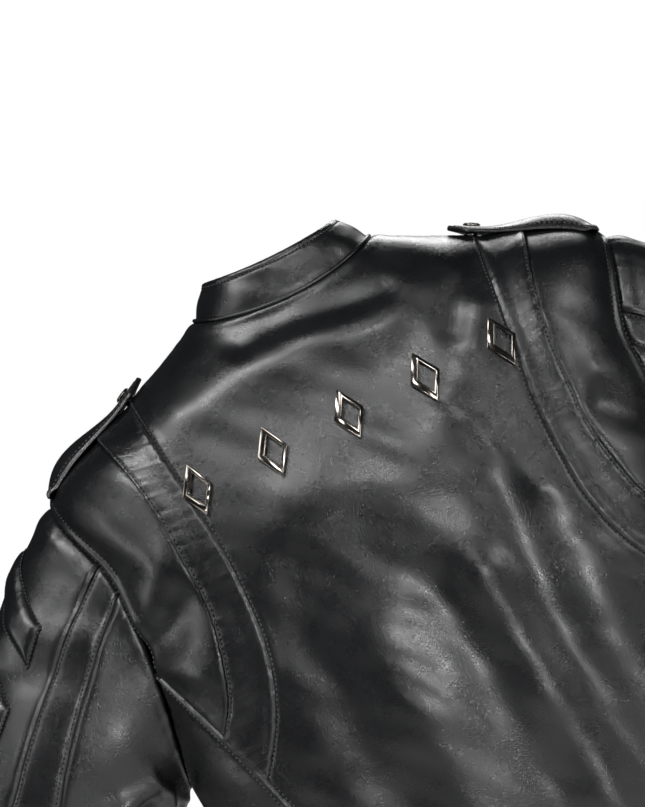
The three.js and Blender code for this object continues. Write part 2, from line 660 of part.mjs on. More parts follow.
// The strap leaves the shoulder beside the armhole and comes down on its snap's post.
const postHeight = snapHeight * 1.6;
const strapOut = normalOf(bodyPoint, 0, strapLevel, ...bodySteps);
const strapHinge = bodyPoint(0, strapLevel).addScaledVector(strapOut, 0.4);
const snapWay = strap.length - strap.snapFromEnd;
const postTop = (level) => bodyPoint(0, level)
  .addScaledVector(normalOf(bodyPoint, 0, level, ...bodySteps), postHeight + 2 * seatGap);
const postLevel = crossing((l) => postTop(l).distanceTo(strapHinge) - snapWay, strapLevel + 20, neckLevel);
const strapWay = postTop(postLevel).sub(strapHinge);
const strapTilt = Math.atan2(strapWay.z, -strapWay.x);

for (const { side, mirrored, sign } of bothSides) {
  const holder = new THREE.Group();
  holder.position.set(sign * strapHinge.x, strapHinge.y, strapHinge.z);
  holder.rotation.set(0, sign * strapTilt, mirrored ? Math.PI : 0, 'YXZ');
  jacket.add(holder);
  add(`epaulette_${side}`, strapGeometry(strap), leather, holder);
  const cap = add(`epaulette_snap_${side}`, domeGeometry(snapRadius, snapHeight), darkMetal, holder);
  cap.position.set(-snapWay, 0, strap.thickness + seatGap);
  const post = add(`epaulette_post_${side}`, domeGeometry(snapRadius * 0.7, postHeight), darkMetal);
  const foot = bodyPoint(0, postLevel);
  const up = normalOf(bodyPoint, 0, postLevel, ...bodySteps);
  foot.addScaledVector(up, seatGap);
  post.position.set(sign * foot.x, foot.y, foot.z);
  post.quaternion.setFromUnitVectors(new THREE.Vector3(0, 0, 1), new THREE.Vector3(sign * up.x, up.y, up.z));
}

const collarTab = { length: 46, width: 22, thickness: 2.6, cutCorner: 7, arch: 0, snapFromEnd: 12 };
const tabHeight = collarHeight / 2;
const tabAngle = 180 - collarEnd + 14; // on the wearer's left end of the collar
const tabFoot = collarPoint(tabAngle, tabHeight);
const tabOut = normalOf(collarPoint, tabAngle, tabHeight, ...bodySteps);
const tabUp = collarPoint(tabAngle, tabHeight + 1).sub(collarPoint(tabAngle, tabHeight - 1)).normalize();
const tabHolder = new THREE.Group();
tabHolder.position.copy(tabFoot).addScaledVector(tabOut, seatGap + 0.4);
const tabX = tabUp.clone().cross(tabOut).normalize();
tabHolder.quaternion.setFromRotationMatrix(
  new THREE.Matrix4().makeBasis(tabX, tabOut.clone().cross(tabX), tabOut),
);
jacket.add(tabHolder);
add('collar_tab', strapGeometry(collarTab), leather, tabHolder);
const tabSnap = add('collar_tab_snap', domeGeometry(snapRadius, snapHeight), darkMetal, tabHolder);
tabSnap.position.set(-collarTab.length + collarTab.snapFromEnd, 0, collarTab.thickness + seatGap);

const studAngle = collarEnd - 16;
const stud = add('collar_stud', domeGeometry(snapRadius * 0.7, snapHeight * 1.4), darkMetal);
const studOut = normalOf(collarPoint, studAngle, tabHeight, ...bodySteps);
stud.position.copy(collarPoint(studAngle, tabHeight)).addScaledVector(studOut, seatGap);
stud.quaternion.setFromUnitVectors(new THREE.Vector3(0, 0, 1), studOut);

// ---- badges across the shoulders ---------------------------------------------------------------

// An open lozenge with one heavy pair of sides, lying in XY with its height along Y.
function badgeGeometry() {
  const { tall, wide, thickness, bar } = badge;
  const ring = (h, w) => [[0, h / 2], [-w / 2, 0], [0, -h / 2], [w / 2, 0]];
  const outline = new THREE.Shape(ring(tall, wide).map(([x, y]) => new THREE.Vector2(x, y)));
  const inside = ring(tall - 3 * bar, wide - 1.8 * bar).map(([x, y]) => new THREE.Vector2(x + bar * 0.25, y));
  outline.holes.push(new THREE.Path(inside.reverse()));
  return new THREE.ExtrudeGeometry(outline, { depth: thickness, bevelEnabled: false });
}

for (let i = -2; i <= 2; i++) {
  const x = i * badge.spacing;
  const level = badge.level + badge.rise * (1 - (i / 2) ** 2);
  const angle = -angleAt(Math.abs(x), level);
  const turned = x < 0 ? -180 - angle : angle;
  const centre = bodyPoint(turned, level);
  const outward = normalOf(bodyPoint, turned, level, ...bodySteps);
  const up = new THREE.Vector3(0, 0, 1).addScaledVector(outward, -outward.z).normalize();
  const mesh = add(`badge_${i + 3}`, badgeGeometry(), darkMetal);
  mesh.position.copy(centre).addScaledVector(outward, seatGap);
  const across = up.clone().cross(outward);
  mesh.quaternion.setFromRotationMatrix(new THREE.Matrix4().makeBasis(across, up, outward));
}

// The origin goes to the middle of the whole jacket's depth.
const depth = new THREE.Box3().setFromObject(jacket, true);
jacket.position.y = -(depth.min.y + depth.max.y) / 2;

export default jacket;
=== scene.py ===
import json
import math
import bmesh
import bpy
import numpy as np
from mathutils import Matrix, Vector


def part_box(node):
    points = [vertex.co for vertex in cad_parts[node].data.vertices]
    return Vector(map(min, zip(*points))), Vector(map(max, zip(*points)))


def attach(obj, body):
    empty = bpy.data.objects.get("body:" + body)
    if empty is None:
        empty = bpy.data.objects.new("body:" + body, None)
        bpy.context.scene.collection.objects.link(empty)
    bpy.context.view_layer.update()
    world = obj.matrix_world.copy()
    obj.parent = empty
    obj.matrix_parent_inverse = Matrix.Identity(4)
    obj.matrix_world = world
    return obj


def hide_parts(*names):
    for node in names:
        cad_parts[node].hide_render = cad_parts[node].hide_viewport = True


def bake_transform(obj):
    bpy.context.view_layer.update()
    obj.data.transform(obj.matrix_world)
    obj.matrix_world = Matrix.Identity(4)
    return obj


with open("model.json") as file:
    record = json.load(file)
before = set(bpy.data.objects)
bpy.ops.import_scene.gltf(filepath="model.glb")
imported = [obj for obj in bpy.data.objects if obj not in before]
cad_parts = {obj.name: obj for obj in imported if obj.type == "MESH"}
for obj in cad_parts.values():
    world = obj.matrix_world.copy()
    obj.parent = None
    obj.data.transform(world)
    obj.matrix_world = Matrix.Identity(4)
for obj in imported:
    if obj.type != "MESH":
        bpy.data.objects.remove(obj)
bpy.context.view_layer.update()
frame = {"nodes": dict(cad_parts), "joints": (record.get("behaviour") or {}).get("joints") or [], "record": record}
mm = 0.001
print("frame loaded")

# camera, lights, floor

view = {"aimX": -0.0135, "aimZ": 0.5585, "backY": -0.12, "distance": 2.6, "tall": 0.5786, "roll": 26.0,
        "film": 24.0}


def makeCamera():
    data = bpy.data.cameras.new("camera")
    data.sensor_fit = "VERTICAL"
    data.sensor_height = view["film"]
    data.lens = view["film"] * view["distance"] / view["tall"]
    data.clip_end = 50
    camera = bpy.data.objects.new("camera", data)
    bpy.context.scene.collection.objects.link(camera)
    turn = math.radians(view["roll"])
    right = Vector((math.cos(turn), 0, -math.sin(turn)))
    up = Vector((math.sin(turn), 0, math.cos(turn)))
    place = Matrix((right, up, right.cross(up))).transposed().to_4x4()
    place.translation = (view["aimX"], view["backY"] - view["distance"], view["aimZ"])
    camera.matrix_world = place
    bpy.context.scene.camera = camera


# each softbox: where it is, where it points, its sides and its power
softboxes = {
    "overhead": {"at": (-0.5, -0.9, 1.95), "to": (0, -0.05, 0.55), "sides": (1.0, 0.4), "watts": 20},
    "highFront": {"at": (0.45, -2.5, 2.15), "to": (0, -0.1, 0.5), "sides": (0.55, 0.5), "watts": 19},
    "lowFront": {"at": (0.6, -2.7, 0.3), "to": (0, -0.1, 0.35), "sides": (0.5, 0.5), "watts": 24},
    "highLeft": {"at": (-1.4, -1.5, 1.6), "to": (-0.1, -0.1, 0.5), "sides": (0.3, 0.8), "watts": 6},
    "leftSide": {"at": (-2.0, -0.6, 0.9), "to": (-0.1, -0.1, 0.5), "sides": (0.3, 1.3), "watts": 8},
    "rightSide": {"at": (2.0, -1.3, 0.9), "to": (0.1, -0.1, 0.45), "sides": (0.3, 1.2), "watts": 14},
    "frontKey": {"at": (0.9, 2.2, 1.9), "to": (0, 0.1, 0.4), "sides": (1.2, 0.8), "watts": 18},
}


def makeLights():
    for name, box in softboxes.items():
        data = bpy.data.lights.new(name, "AREA")
        data.shape = "RECTANGLE"
        data.size, data.size_y = box["sides"]
        data.energy = box["watts"]
        light = bpy.data.objects.new(name, data)
        bpy.context.scene.collection.objects.link(light)
        light.location = box["at"]
        light.rotation_euler = (Vector(box["to"]) - Vector(box["at"])).to_track_quat("-Z", "Y").to_euler()


def makeWorld():
    world = bpy.data.worlds.new("studio")
    bpy.context.scene.world = world
    world.use_nodes = True
    nodes, links = world.node_tree.nodes, world.node_tree.links
    nodes.clear()
    seen = nodes.new("ShaderNodeBackground")
    seen.inputs["Color"].default_value = (1, 1, 1, 1)
    seen.inputs["Strength"].default_value = 1.0
    room = nodes.new("ShaderNodeBackground")
    room.inputs["Color"].default_value = (0.86, 0.93, 1, 1)
    room.inputs["Strength"].default_value = 0.022
    path = nodes.new("ShaderNodeLightPath")
    mix = nodes.new("ShaderNodeMixShader")
    output = nodes.new("ShaderNodeOutputWorld")
    links.new(path.outputs["Is Camera Ray"], mix.inputs["Fac"])
    links.new(room.outputs["Background"], mix.inputs[1])
    links.new(seen.outputs["Background"], mix.inputs[2])
    links.new(mix.outputs["Shader"], output.inputs["Surface"])


makeCamera()
makeLights()
makeWorld()
bpy.context.scene.view_settings.view_transform = "Standard"

# materials


class Shader:
    # a short way to write a node tree: each call adds a node and returns it
    def __init__(self, name):
        self.material = bpy.data.materials.new(name)
        self.material.use_nodes = True
        self.nodes = self.material.node_tree.nodes
        self.links = self.material.node_tree.links
        self.nodes.clear()
        self.surface = self.nodes.new("ShaderNodeBsdfPrincipled")
        output = self.nodes.new("ShaderNodeOutputMaterial")
        self.links.new(self.surface.outputs["BSDF"], output.inputs["Surface"])
        self.place = self.nodes.new("ShaderNodeTexCoord").outputs["Object"]

    def put(self, kind, settings=None, **inputs):
        node = self.nodes.new(kind)
        for key, value in (settings or {}).items():
            setattr(node, key, value)
        for key, value in inputs.items():
            numbered = key[0] == "n" and key[1:].isdigit()
            socket = node.inputs[int(key[1:]) if numbered else key.replace("_", " ")]
            if isinstance(value, bpy.types.NodeSocket):
                self.links.new(value, socket)
            else:
                socket.default_value = value
        return node

    def noise(self, scale, detail=3.0, roughness=0.5, distortion=0.0, vector=None):
        return self.put("ShaderNodeTexNoise", Vector=vector or self.place, Scale=scale, Detail=detail,
                        Roughness=roughness, Distortion=distortion).outputs["Fac"]

    def ramp(self, fac, low, high, outLow=0.0, outHigh=1.0):
        return self.put("ShaderNodeMapRange", n0=fac, n1=low, n2=high, n3=outLow, n4=outHigh).outputs[0]

    def math(self, operation, a, b=0.0):
        return self.put("ShaderNodeMath", {"operation": operation}, n0=a, n1=b).outputs[0]

    def mixColour(self, fac, a, b):
        return self.put("ShaderNodeMix", {"data_type": "RGBA"}, n0=fac, n6=a, n7=b).outputs[2]

    def bump(self, height, distance, strength=1.0, under=None):
        inputs = {"Height": height, "Distance": distance, "Strength": strength}
        if under is not None:
            inputs["Normal"] = under
        return self.put("ShaderNodeBump", **inputs).outputs["Normal"]

    def link(self, value, name):
        self.links.new(value, self.surface.inputs[name])


leatherLook = {
    "dark": (0.0042, 0.0044, 0.005, 1), "light": (0.008, 0.0083, 0.009, 1), "edge": (0.026, 0.026, 0.027, 1),
    "clouds": 14, "wear": 260, "shine": 46, "smoothest": 0.23, "roughest": 0.33, "specular": 0.55,
    "grain": 620, "grainDepth": 0.00010, "grooves": 0.15, "wander": 330, "wanderBy": 0.0011,
    "creases": 170, "creaseDepth": 0.0005, "coat": 0.12, "coatRoughness": 0.28,
}


def makeLeather(name, look):
    s = Shader(name)
    tint = s.mixColour(s.ramp(s.noise(look["clouds"], 4), 0.35, 0.7), look["dark"], look["light"])
    worn = s.put("ShaderNodeAttribute", {"attribute_name": "worn"}).outputs["Fac"]
    rubbed = s.math("MULTIPLY", worn, s.ramp(s.noise(look["wear"], 3), 0.35, 0.75, 0.25, 1))
    s.link(s.mixColour(rubbed, tint, look["edge"]), "Base Color")
    shine = s.noise(look["shine"], 5, 0.6)
    s.link(s.ramp(shine, 0.3, 0.72, look["smoothest"], look["roughest"]), "Roughness")
    wander = s.put("ShaderNodeTexNoise", Vector=s.place, Scale=look["wander"], Detail=2.0).outputs["Color"]
    warped = s.put("ShaderNodeVectorMath", {"operation": "MULTIPLY_ADD"}, n0=wander,
                   n1=(look["wanderBy"],) * 3, n2=s.place).outputs[0]
    cells = s.put("ShaderNodeTexVoronoi", {"feature": "DISTANCE_TO_EDGE"}, Vector=warped,
                  Scale=look["grain"]).outputs[0]
    creased = s.bump(s.noise(look["creases"], 6, 0.62, 0.6), look["creaseDepth"], 0.2)
    s.link(s.bump(s.ramp(cells, 0.0, look["grooves"]), look["grainDepth"], 0.5, creased), "Normal")
    s.surface.inputs["Specular IOR Level"].default_value = look["specular"]
    s.surface.inputs["Coat Weight"].default_value = look["coat"]
    s.surface.inputs["Coat Roughness"].default_value = look["coatRoughness"]
    return s.material


def makeThread():
    s = Shader("blackThreadPaintedHighlight")
    # black thread, its colour lightened to grey so the stitches show as painted highlights
    s.link(s.mixColour(s.noise(900, 2), (0.02, 0.02, 0.021, 1), (0.05, 0.05, 0.052, 1)), "Base Color")
    twist = s.put("ShaderNodeTexWave", Vector=s.place, Scale=900.0, Distortion=2.0).outputs["Fac"]
    s.link(s.ramp(s.noise(700, 2), 0.3, 0.7, 0.28, 0.42), "Roughness")
    s.link(s.bump(twist, 0.0001, 0.5), "Normal")
    return s.material


def makeShade():
    s = Shader("needleHoleShade")
    tint = s.mixColour(s.noise(900, 2), (0.0005, 0.0005, 0.0005, 1), (0.0015, 0.0015, 0.0015, 1))
    s.link(tint, "Base Color")
    s.link(s.ramp(s.noise(700, 2), 0.3, 0.7, 0.85, 0.95), "Roughness")
    s.surface.inputs["Specular IOR Level"].default_value = 0.1
    return s.material


def makeGunmetal():
    s = Shader("polishedGunmetal")
    patches = s.ramp(s.noise(30, 3), 0.35, 0.65)
    s.link(s.mixColour(patches, (0.19, 0.172, 0.155, 1), (0.3, 0.272, 0.245, 1)), "Base Color")
    s.link(s.ramp(s.noise(210, 4, 0.6), 0.3, 0.75, 0.10, 0.2), "Roughness")
    s.link(s.bump(s.noise(700, 3), 0.00005, 0.2), "Normal")
    s.surface.inputs["Metallic"].default_value = 1.0
    return s.material


def makeSatin():
    s = Shader("satinLining")
    patches = s.ramp(s.noise(25, 3), 0.3, 0.7)
    s.link(s.mixColour(patches, (0.008, 0.008, 0.0095, 1), (0.014, 0.014, 0.016, 1)), "Base Color")
    weave = s.put("ShaderNodeTexWave", {"bands_direction": "Z"}, Vector=s.place, Scale=420.0,
                  Distortion=0.4).outputs["Fac"]
    s.link(s.ramp(s.noise(60, 3), 0.3, 0.7, 0.38, 0.52), "Roughness")
    s.link(s.bump(weave, 0.0001, 0.5, s.bump(s.noise(60, 3), 0.0015, 0.3)), "Normal")
    return s.material


def makeTape():
    s = Shader("wovenZipTape")
    s.link(s.mixColour(s.noise(400, 3), (0.006, 0.006, 0.0065, 1), (0.014, 0.014, 0.015, 1)), "Base Color")
    ribs = s.put("ShaderNodeTexWave", {"bands_direction": "DIAGONAL"}, Vector=s.place,
                 Scale=600.0).outputs["Fac"]
    s.link(s.ramp(s.noise(300, 2), 0.3, 0.7, 0.72, 0.9), "Roughness")
    s.link(s.bump(ribs, 0.0002, 0.7), "Normal")
    return s.material


leather = makeLeather("blackNappa", leatherLook)
thread = makeThread()
shade = makeShade()
gunmetal = makeGunmetal()
satin = makeSatin()
tape = makeTape()


def makeFloor():
    s = Shader("paleFloor")
    s.link(s.mixColour(s.noise(3, 3), (0.80, 0.80, 0.80, 1), (0.86, 0.86, 0.86, 1)), "Base Color")
    s.link(s.ramp(s.noise(8, 2), 0.3, 0.7, 0.75, 0.85), "Roughness")
    s.surface.inputs["Emission Color"].default_value = (1, 1, 1, 1)
    s.surface.inputs["Emission Strength"].default_value = 0.3
    mesh = bpy.data.meshes.new("floor")
    ring = 64
    radius = 1.1
    points = [(radius * math.cos(2 * math.pi * i / ring), radius * math.sin(2 * math.pi * i / ring), -0.0005)
              for i in range(ring)]
    mesh.from_pydata(points, [], [tuple(range(ring))])
    mesh.materials.append(s.material)
    floor = bpy.data.objects.new("floor", mesh)
    bpy.context.scene.collection.objects.link(floor)


makeFloor()
print("materials, lights and floor ready")

# the body's and the sleeve's surfaces, in millimetres

body = {
    "level": [0, 45, 120, 230, 345, 395, 430, 510, 578, 665, 753],
    "side": [0, 45, 120, 230, 345, 395, 430, 510, 578, 618, 655],
    "back": [0, 45, 120, 230, 345, 395, 430, 503, 556, 604, 640],
    "front": [0, 45, 120, 230, 345, 395, 430, 500, 548, 573, 590],
    "half": [205, 205, 204, 214, 226, 225, 224, 224, 229, 150, 72],
    "backDepth": [109, 109, 108, 115, 122, 122.6, 122, 115, 98, 80, 56],
    "frontDepth": [122, 123.05, 124.79, 127.35, 130.02, 131.19, 132, 118, 96, 82, 68],
    "squareness": 0.12, "hem": 45, "underarm": 345, "shoulderTip": 578, "neck": 753, "collar": 33,
}
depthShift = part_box("hem_band_back")[0].y / mm + body["backDepth"][0]
armhole = {"backAngle": 24, "frontAngle": 30, "fullness": 0.15,
           "middle": (body["shoulderTip"] + body["underarm"]) / 2,
           "half": (body["shoulderTip"] - body["underarm"]) / 2}
sleeve = {
    "firstRing": (317, 4, 380), "angle": 47, "bend": 14, "bendFrom": 90, "bendOver": 120,
    "length": 440, "cuff": 48, "underSeamAtArmhole": 246,
    "at": [0, 150, 295, 440], "tall": [84, 62, 52, 42], "deep": [64, 56, 47, 38], "head": 120,
    "stripe": (68, 92), "stripeAtArmhole": (57, 71), "underSeam": 252,
}
shellThickness = 2.2


def smooth(places, values, at):
    places, values = np.asarray(places, float), np.asarray(values, float)
    gaps = np.diff(places)
    slopes = np.diff(values) / gaps
    between = (slopes[:-1] * gaps[1:] + slopes[1:] * gaps[:-1]) / (gaps[:-1] + gaps[1:])
    tangents = np.concatenate([slopes[:1], between, slopes[-1:]])
    at = np.clip(at, places[0], places[-1])
    i = np.clip(np.searchsorted(places, at, side="left") - 1, 0, len(gaps) - 1)
    t = (at - places[i]) / gaps[i]
    return ((2 * t ** 3 - 3 * t ** 2 + 1) * values[i] + (t ** 3 - 2 * t ** 2 + t) * gaps[i] * tangents[i]
            + (3 * t ** 2 - 2 * t ** 3) * values[i + 1] + (t ** 3 - t ** 2) * gaps[i] * tangents[i + 1])


def eased(t):
    t = np.clip(t, 0, 1)
    return t * t * (3 - 2 * t)


def bodyPoint(angle, level):
    angle, level = np.broadcast_arrays(np.radians(angle), np.asarray(level, float))
    c, s = np.cos(angle), np.sin(angle)
    measures = ("side", "back", "front", "half", "backDepth", "frontDepth")
    value = {k: smooth(body["level"], body[k], level) for k in measures}
    middle = np.where(s < 0, value["back"], value["front"])
    q = body["squareness"]
    return np.stack([
        value["half"] * c * (1 + q * s * s),
        (value["frontDepth"] + value["backDepth"]) / 2 * s * (1 + q * c * c)
        + (value["frontDepth"] - value["backDepth"]) / 2 * s * s + depthShift,
        value["side"] * c * c + middle * s * s,
    ], -1)


def angleAt(x, level):
    half = smooth(body["level"], body["half"], level)
    low, high = np.zeros_like(half), np.full_like(half, 90.0)
    for _ in range(36):
        middle = (low + high) / 2
        s = np.sin(np.radians(middle))
        wide = half * np.cos(np.radians(middle)) * (1 + body["squareness"] * s * s) > x
        low, high = np.where(wide, middle, low), np.where(wide, high, middle)
    return np.where(x >= half, 0.0, (low + high) / 2)


def armholeEdge(turn):
    c, s = np.cos(np.radians(turn)), np.sin(np.radians(turn))
    most = np.where(s > 0, armhole["backAngle"], armhole["frontAngle"])
    return -most * s * (1 + armhole["fullness"] * c), armhole["middle"] + armhole["half"] * c


def armholeAngle(level, sign):
    c = (level - armhole["middle"]) / armhole["half"]
    turn = sign * np.degrees(np.arccos(np.clip(c, -1, 1)))
    return np.where(np.abs(c) >= 1, 0.0, np.abs(armholeEdge(turn)[0]))


lean = math.radians(sleeve["angle"])
sleeveDown = np.array([math.sin(lean), 0, -math.cos(lean)])
sleeveUp = np.array([math.cos(lean), 0, math.sin(lean)])
wayOut = np.array([0.88, 0, -0.47]) / math.hypot(0.88, 0.47)
axisStep = 5.0
axisPlaces = np.arange(0, sleeve["length"] + 60, axisStep)


def bendAt(at):
    return math.radians(sleeve["bend"]) * eased((at - sleeve["bendFrom"]) / sleeve["bendOver"])


def axisCentres():
    turned = bendAt(axisPlaces[:-1] + axisStep / 2)
    steps = axisStep * (np.cos(turned)[:, None] * sleeveDown + np.sin(turned)[:, None] * np.array([0, 1, 0]))
    start = np.array(sleeve["firstRing"], float) + (0, depthShift, 0)
    return np.vstack([start, start + np.cumsum(steps, 0)])


axisTable = axisCentres()


def sleevePoint(turn, at):
    turn, at = np.broadcast_arrays(np.radians(turn), np.asarray(at, float))
    centre = np.stack([np.interp(at, axisPlaces, axisTable[:, k]) for k in range(3)], -1)
    bend = bendAt(at)
    front = np.cos(bend)[..., None] * np.array([0, 1, 0]) - np.sin(bend)[..., None] * sleeveDown
    tall, deep = (smooth(sleeve["at"], sleeve[k], at) for k in ("tall", "deep"))
    return centre + (tall * np.cos(turn))[..., None] * sleeveUp - (deep * np.sin(turn))[..., None] * front


def sleeveSurface(turn, way):
    # way is negative on the sleeve head and counts from the ring where the sleeve becomes a plain tube
    turn, way = np.broadcast_arrays(np.asarray(turn, float), np.asarray(way, float))
    t = np.clip(1 + way / sleeve["head"], 0, 1)[..., None]
    start = bodyPoint(*armholeEdge(turn))
    end = sleevePoint(turn, 0.0)
    reach = np.linalg.norm(start - end, axis=-1, keepdims=True)
    taper = (sleevePoint(turn, 6.0) - end) / 6.0
    head = ((2 * t ** 3 - 3 * t ** 2 + 1) * start + (t ** 3 - 2 * t ** 2 + t) * reach * 0.8 * wayOut
            + (3 * t ** 2 - 2 * t ** 3) * end + (t ** 3 - t ** 2) * reach * 0.9 * taper)
    return np.where((way < 0)[..., None], head, sleevePoint(turn, np.maximum(way, 0)))


def outward(surface, a, b):
    across = surface(a + 0.4, b) - surface(a - 0.4, b)
    along = surface(a, b + 0.8) - surface(a, b - 0.8)
    normal = np.cross(across, along)
    return normal / np.maximum(np.linalg.norm(normal, axis=-1, keepdims=True), 1e-9)


# relief: seams, puckers, folds and ripples, in millimetres

dice = np.random.default_rng(11)
rippleWaves = [(dice.uniform(0, 2 * math.pi), dice.uniform(0, 2 * math.pi), length)
               for length in (23, 29, 37, 46, 58, 71, 90)]
puckerWaves = [(rate, dice.uniform(0, 2 * math.pi)) for rate in (1.0, 1.63, 2.41, 0.57)]


def ripples(u, v, height):
    total = np.zeros(np.broadcast(u, v).shape)
    for direction, phase, length in rippleWaves:
        along = u * math.cos(direction) + v * math.sin(direction)
        sideways = u * math.sin(direction) - v * math.cos(direction)
        wander = 1.3 * np.sin(sideways / length + phase)
        total += np.sin(along * 2 * math.pi / length + phase + wander) * length / 70
    return total * height / 2.4


def pucker(way, distance, spacing, height, reach):
    waves = sum(np.sin(way / spacing * 2 * math.pi * rate + phase) for rate, phase in puckerWaves) / 2
    return height * waves * np.exp(-distance / reach)


def ridge(distance, height, width):
    return height * np.exp(-(distance / width) ** 2)


def rolled(distance, depth=1.25, width=1.5, puff=0.45, puffAt=5.5):
    # a seam: the leather dips at the edge and puffs up beside it
    return ridge(distance - puffAt, puff, 4) - ridge(distance, depth, width)


def pathDistance(u, v, path):
    best = np.full(np.broadcast(u, v).shape, 1e9)
    for (ua, va), (ub, vb) in zip(path[:-1], path[1:]):
        du, dv = ub - ua, vb - va
        t = np.clip(((u - ua) * du + (v - va) * dv) / (du * du + dv * dv), 0, 1)
        best = np.minimum(best, np.hypot(u - ua - t * du, v - va - t * dv))
    return best


foldDepth = 1.15


def folded(u, v, folds):
    total = np.zeros(np.broadcast(u, v).shape)
    for height, width, path in folds:
        total += ridge(pathDistance(u, v, path), height * foldDepth, width)
    return total


# height, half width and path in (x, z) over the back
backFolds = [
    (-3.2, 11, [(-48, 625), (-10, 624), (30, 617), (62, 612)]),
    (3.2, 17, [(-108, 596), (-60, 603), (-8, 600), (52, 594), (104, 612)]),
    (-3.4, 12, [(128, 600), (112, 588), (94, 566)]),
    (2.0, 12, [(118, 572), (104, 548)]),
    (-1.6, 30, [(-70, 562), (-20, 556), (36, 560)]),
    (3.4, 24, [(-70, 500), (-22, 486), (14, 468), (34, 440), (34, 405)]),
    (-2.6, 24, [(-84, 450), (-50, 430), (-12, 418)]),
    (-3.6, 20, [(6, 400), (6, 350), (12, 280), (18, 180)]),
    (3.8, 19, [(36, 400), (40, 350), (44, 300), (50, 230), (54, 150)]),
    (-3.8, 19, [(84, 500), (76, 450), (70, 390), (72, 316), (80, 240), (90, 170)]),
    (3.4, 24, [(112, 430), (110, 360), (108, 290), (112, 220)]),
    (2.8, 22, [(-44, 400), (-50, 350), (-46, 290), (-40, 200)]),
    (-3.2, 22, [(-98, 410), (-92, 360), (-88, 300), (-84, 220)]),
    (2.2, 20, [(-124, 330), (-120, 240), (-112, 160)]),
    (-3.0, 13, [(170, 470), (186, 452), (206, 442)]),
    (2.4, 12, [(176, 496), (194, 486), (214, 470)]),
    (-3.8, 16, [(-172, 468), (-188, 456), (-210, 452)]),
    (3.0, 15, [(-170, 504), (-190, 490), (-206, 470)]),
    (2.6, 16, [(-178, 424), (-196, 434)]),
    (0.6, 5, [(64, 524), (82, 500), (92, 470), (98, 436)]),
    (0.5, 5, [(-60, 380), (-40, 356), (-24, 330), (-12, 300)]),
    (2.4, 17, [(-190, 548), (-180, 520)]),
    (-3.0, 22, [(-190, 250), (-150, 205), (-80, 190), (0, 200)]),
    (2.6, 22, [(-200, 215), (-150, 168), (-60, 150)]),
    (-3.0, 20, [(190, 230), (150, 190), (90, 182)]),
    (2.4, 20, [(200, 190), (150, 152), (70, 142), (-10, 150)]),
    (-2.4, 18, [(-170, 110), (-60, 96), (60, 98), (180, 112)]),
]
frontFolds = [
    (-3.0, 16, [(200, 380), (150, 352), (96, 340)]),
    (2.8, 16, [(200, 340), (150, 316), (90, 306)]),
    (-3.0, 14, [(60, 500), (74, 420), (70, 330), (60, 240)]),
    (3.0, 16, [(96, 480), (104, 400), (96, 300)]),
    (-2.6, 16, [(190, 250), (130, 210), (60, 200)]),
    (2.4, 16, [(196, 206), (130, 170), (50, 158)]),
    (-2.4, 14, [(170, 104), (100, 92), (40, 92)]),
    (-3.0, 13, [(120, 585), (110, 560), (92, 520)]),
]
# height, half width and path in (turn, way) over the sleeve; turn counts as millimetres on a 70 mm radius
sleeveFolds = [
    (3.2, 9, [(26, -58), (44, -66), (66, -74), (84, -88)]),
    (-2.4, 9, [(40, -46), (66, -52), (88, -66)]),
    (2.2, 15, [(132, -100), (136, -64)]),
    (-2.2, 13, [(132, -20), (130, 40), (122, 110)]),
    (4.8, 9, [(140, 100), (146, 34), (154, -26), (166, -62), (180, -70), (192, -52), (200, -8), (206, 60)]),
    (-7.0, 12, [(178, -30), (176, 0), (172, 60), (166, 120)]),
    (4.6, 15, [(222, -80), (224, -20), (224, 50)]),
    (-3.2, 12, [(250, 150), (290, 168), (330, 160)]),
    (3.0, 12, [(246, 176), (290, 196), (334, 184)]),
    (-2.8, 12, [(256, 206), (296, 222), (336, 208)]),
    (2.4, 12, [(120, 180), (150, 210), (170, 250)]),
    (-2.6, 12, [(130, 240), (160, 280), (196, 300)]),
    (2.2, 12, [(60, 300), (100, 330), (150, 350)]),
    (-2.2, 11, [(200, 330), (250, 350), (310, 345)]),
    (2.0, 11, [(30, 368), (90, 380), (150, 376)]),
]
sleeveRadius = 70


def bodyRelief(points, angle, level):
    x, z = points[..., 0], points[..., 2]
    back = folded(x, z, backFolds) + ripples(x, z, 0.75)
    front = folded(np.abs(x), z, frontFolds) + ripples(x + 400, z, 0.75)
    share = eased((np.sin(np.radians(angle)) + 0.25) / 0.5)
    calm = eased((level - body["hem"]) / 35) * eased((body["neck"] - level) / 12)
    return (back * (1 - share) + front * share) * calm


def sleeveRelief(turn, way, mirrored):
    u = np.radians(np.mod(turn, 360)) * sleeveRadius
    calm = eased((sleeve["head"] + way) / 10) * eased((sleeve["length"] - sleeve["cuff"] - way) / 25)
    return (folded(u, way, sleeveFolds) + ripples(u + (500 if mirrored else 0), way, 0.8)) * calm


# mesh makers


def meshObject(name, points, faces, material, worn=None):
    mesh = bpy.data.meshes.new(name)
    mesh.vertices.add(len(points))
    mesh.vertices.foreach_set("co", np.asarray(points, float).ravel() * mm)
    faces = np.asarray(faces)
    mesh.loops.add(faces.size)
    mesh.loops.foreach_set("vertex_index", faces.ravel())
    mesh.polygons.add(len(faces))
    mesh.polygons.foreach_set("loop_start", np.arange(len(faces)) * faces.shape[1])
    mesh.polygons.foreach_set("use_smooth", np.ones(len(faces), bool))
    mesh.update(calc_edges=True)
    mesh.validate()
    if worn is not None:
        marks = mesh.attributes.new("worn", "FLOAT", "POINT")
        marks.data.foreach_set("value", np.asarray(worn, float).ravel())
    mesh.materials.append(material)
    made = bpy.data.objects.new(name, mesh)
    bpy.context.scene.collection.objects.link(made)
    return made


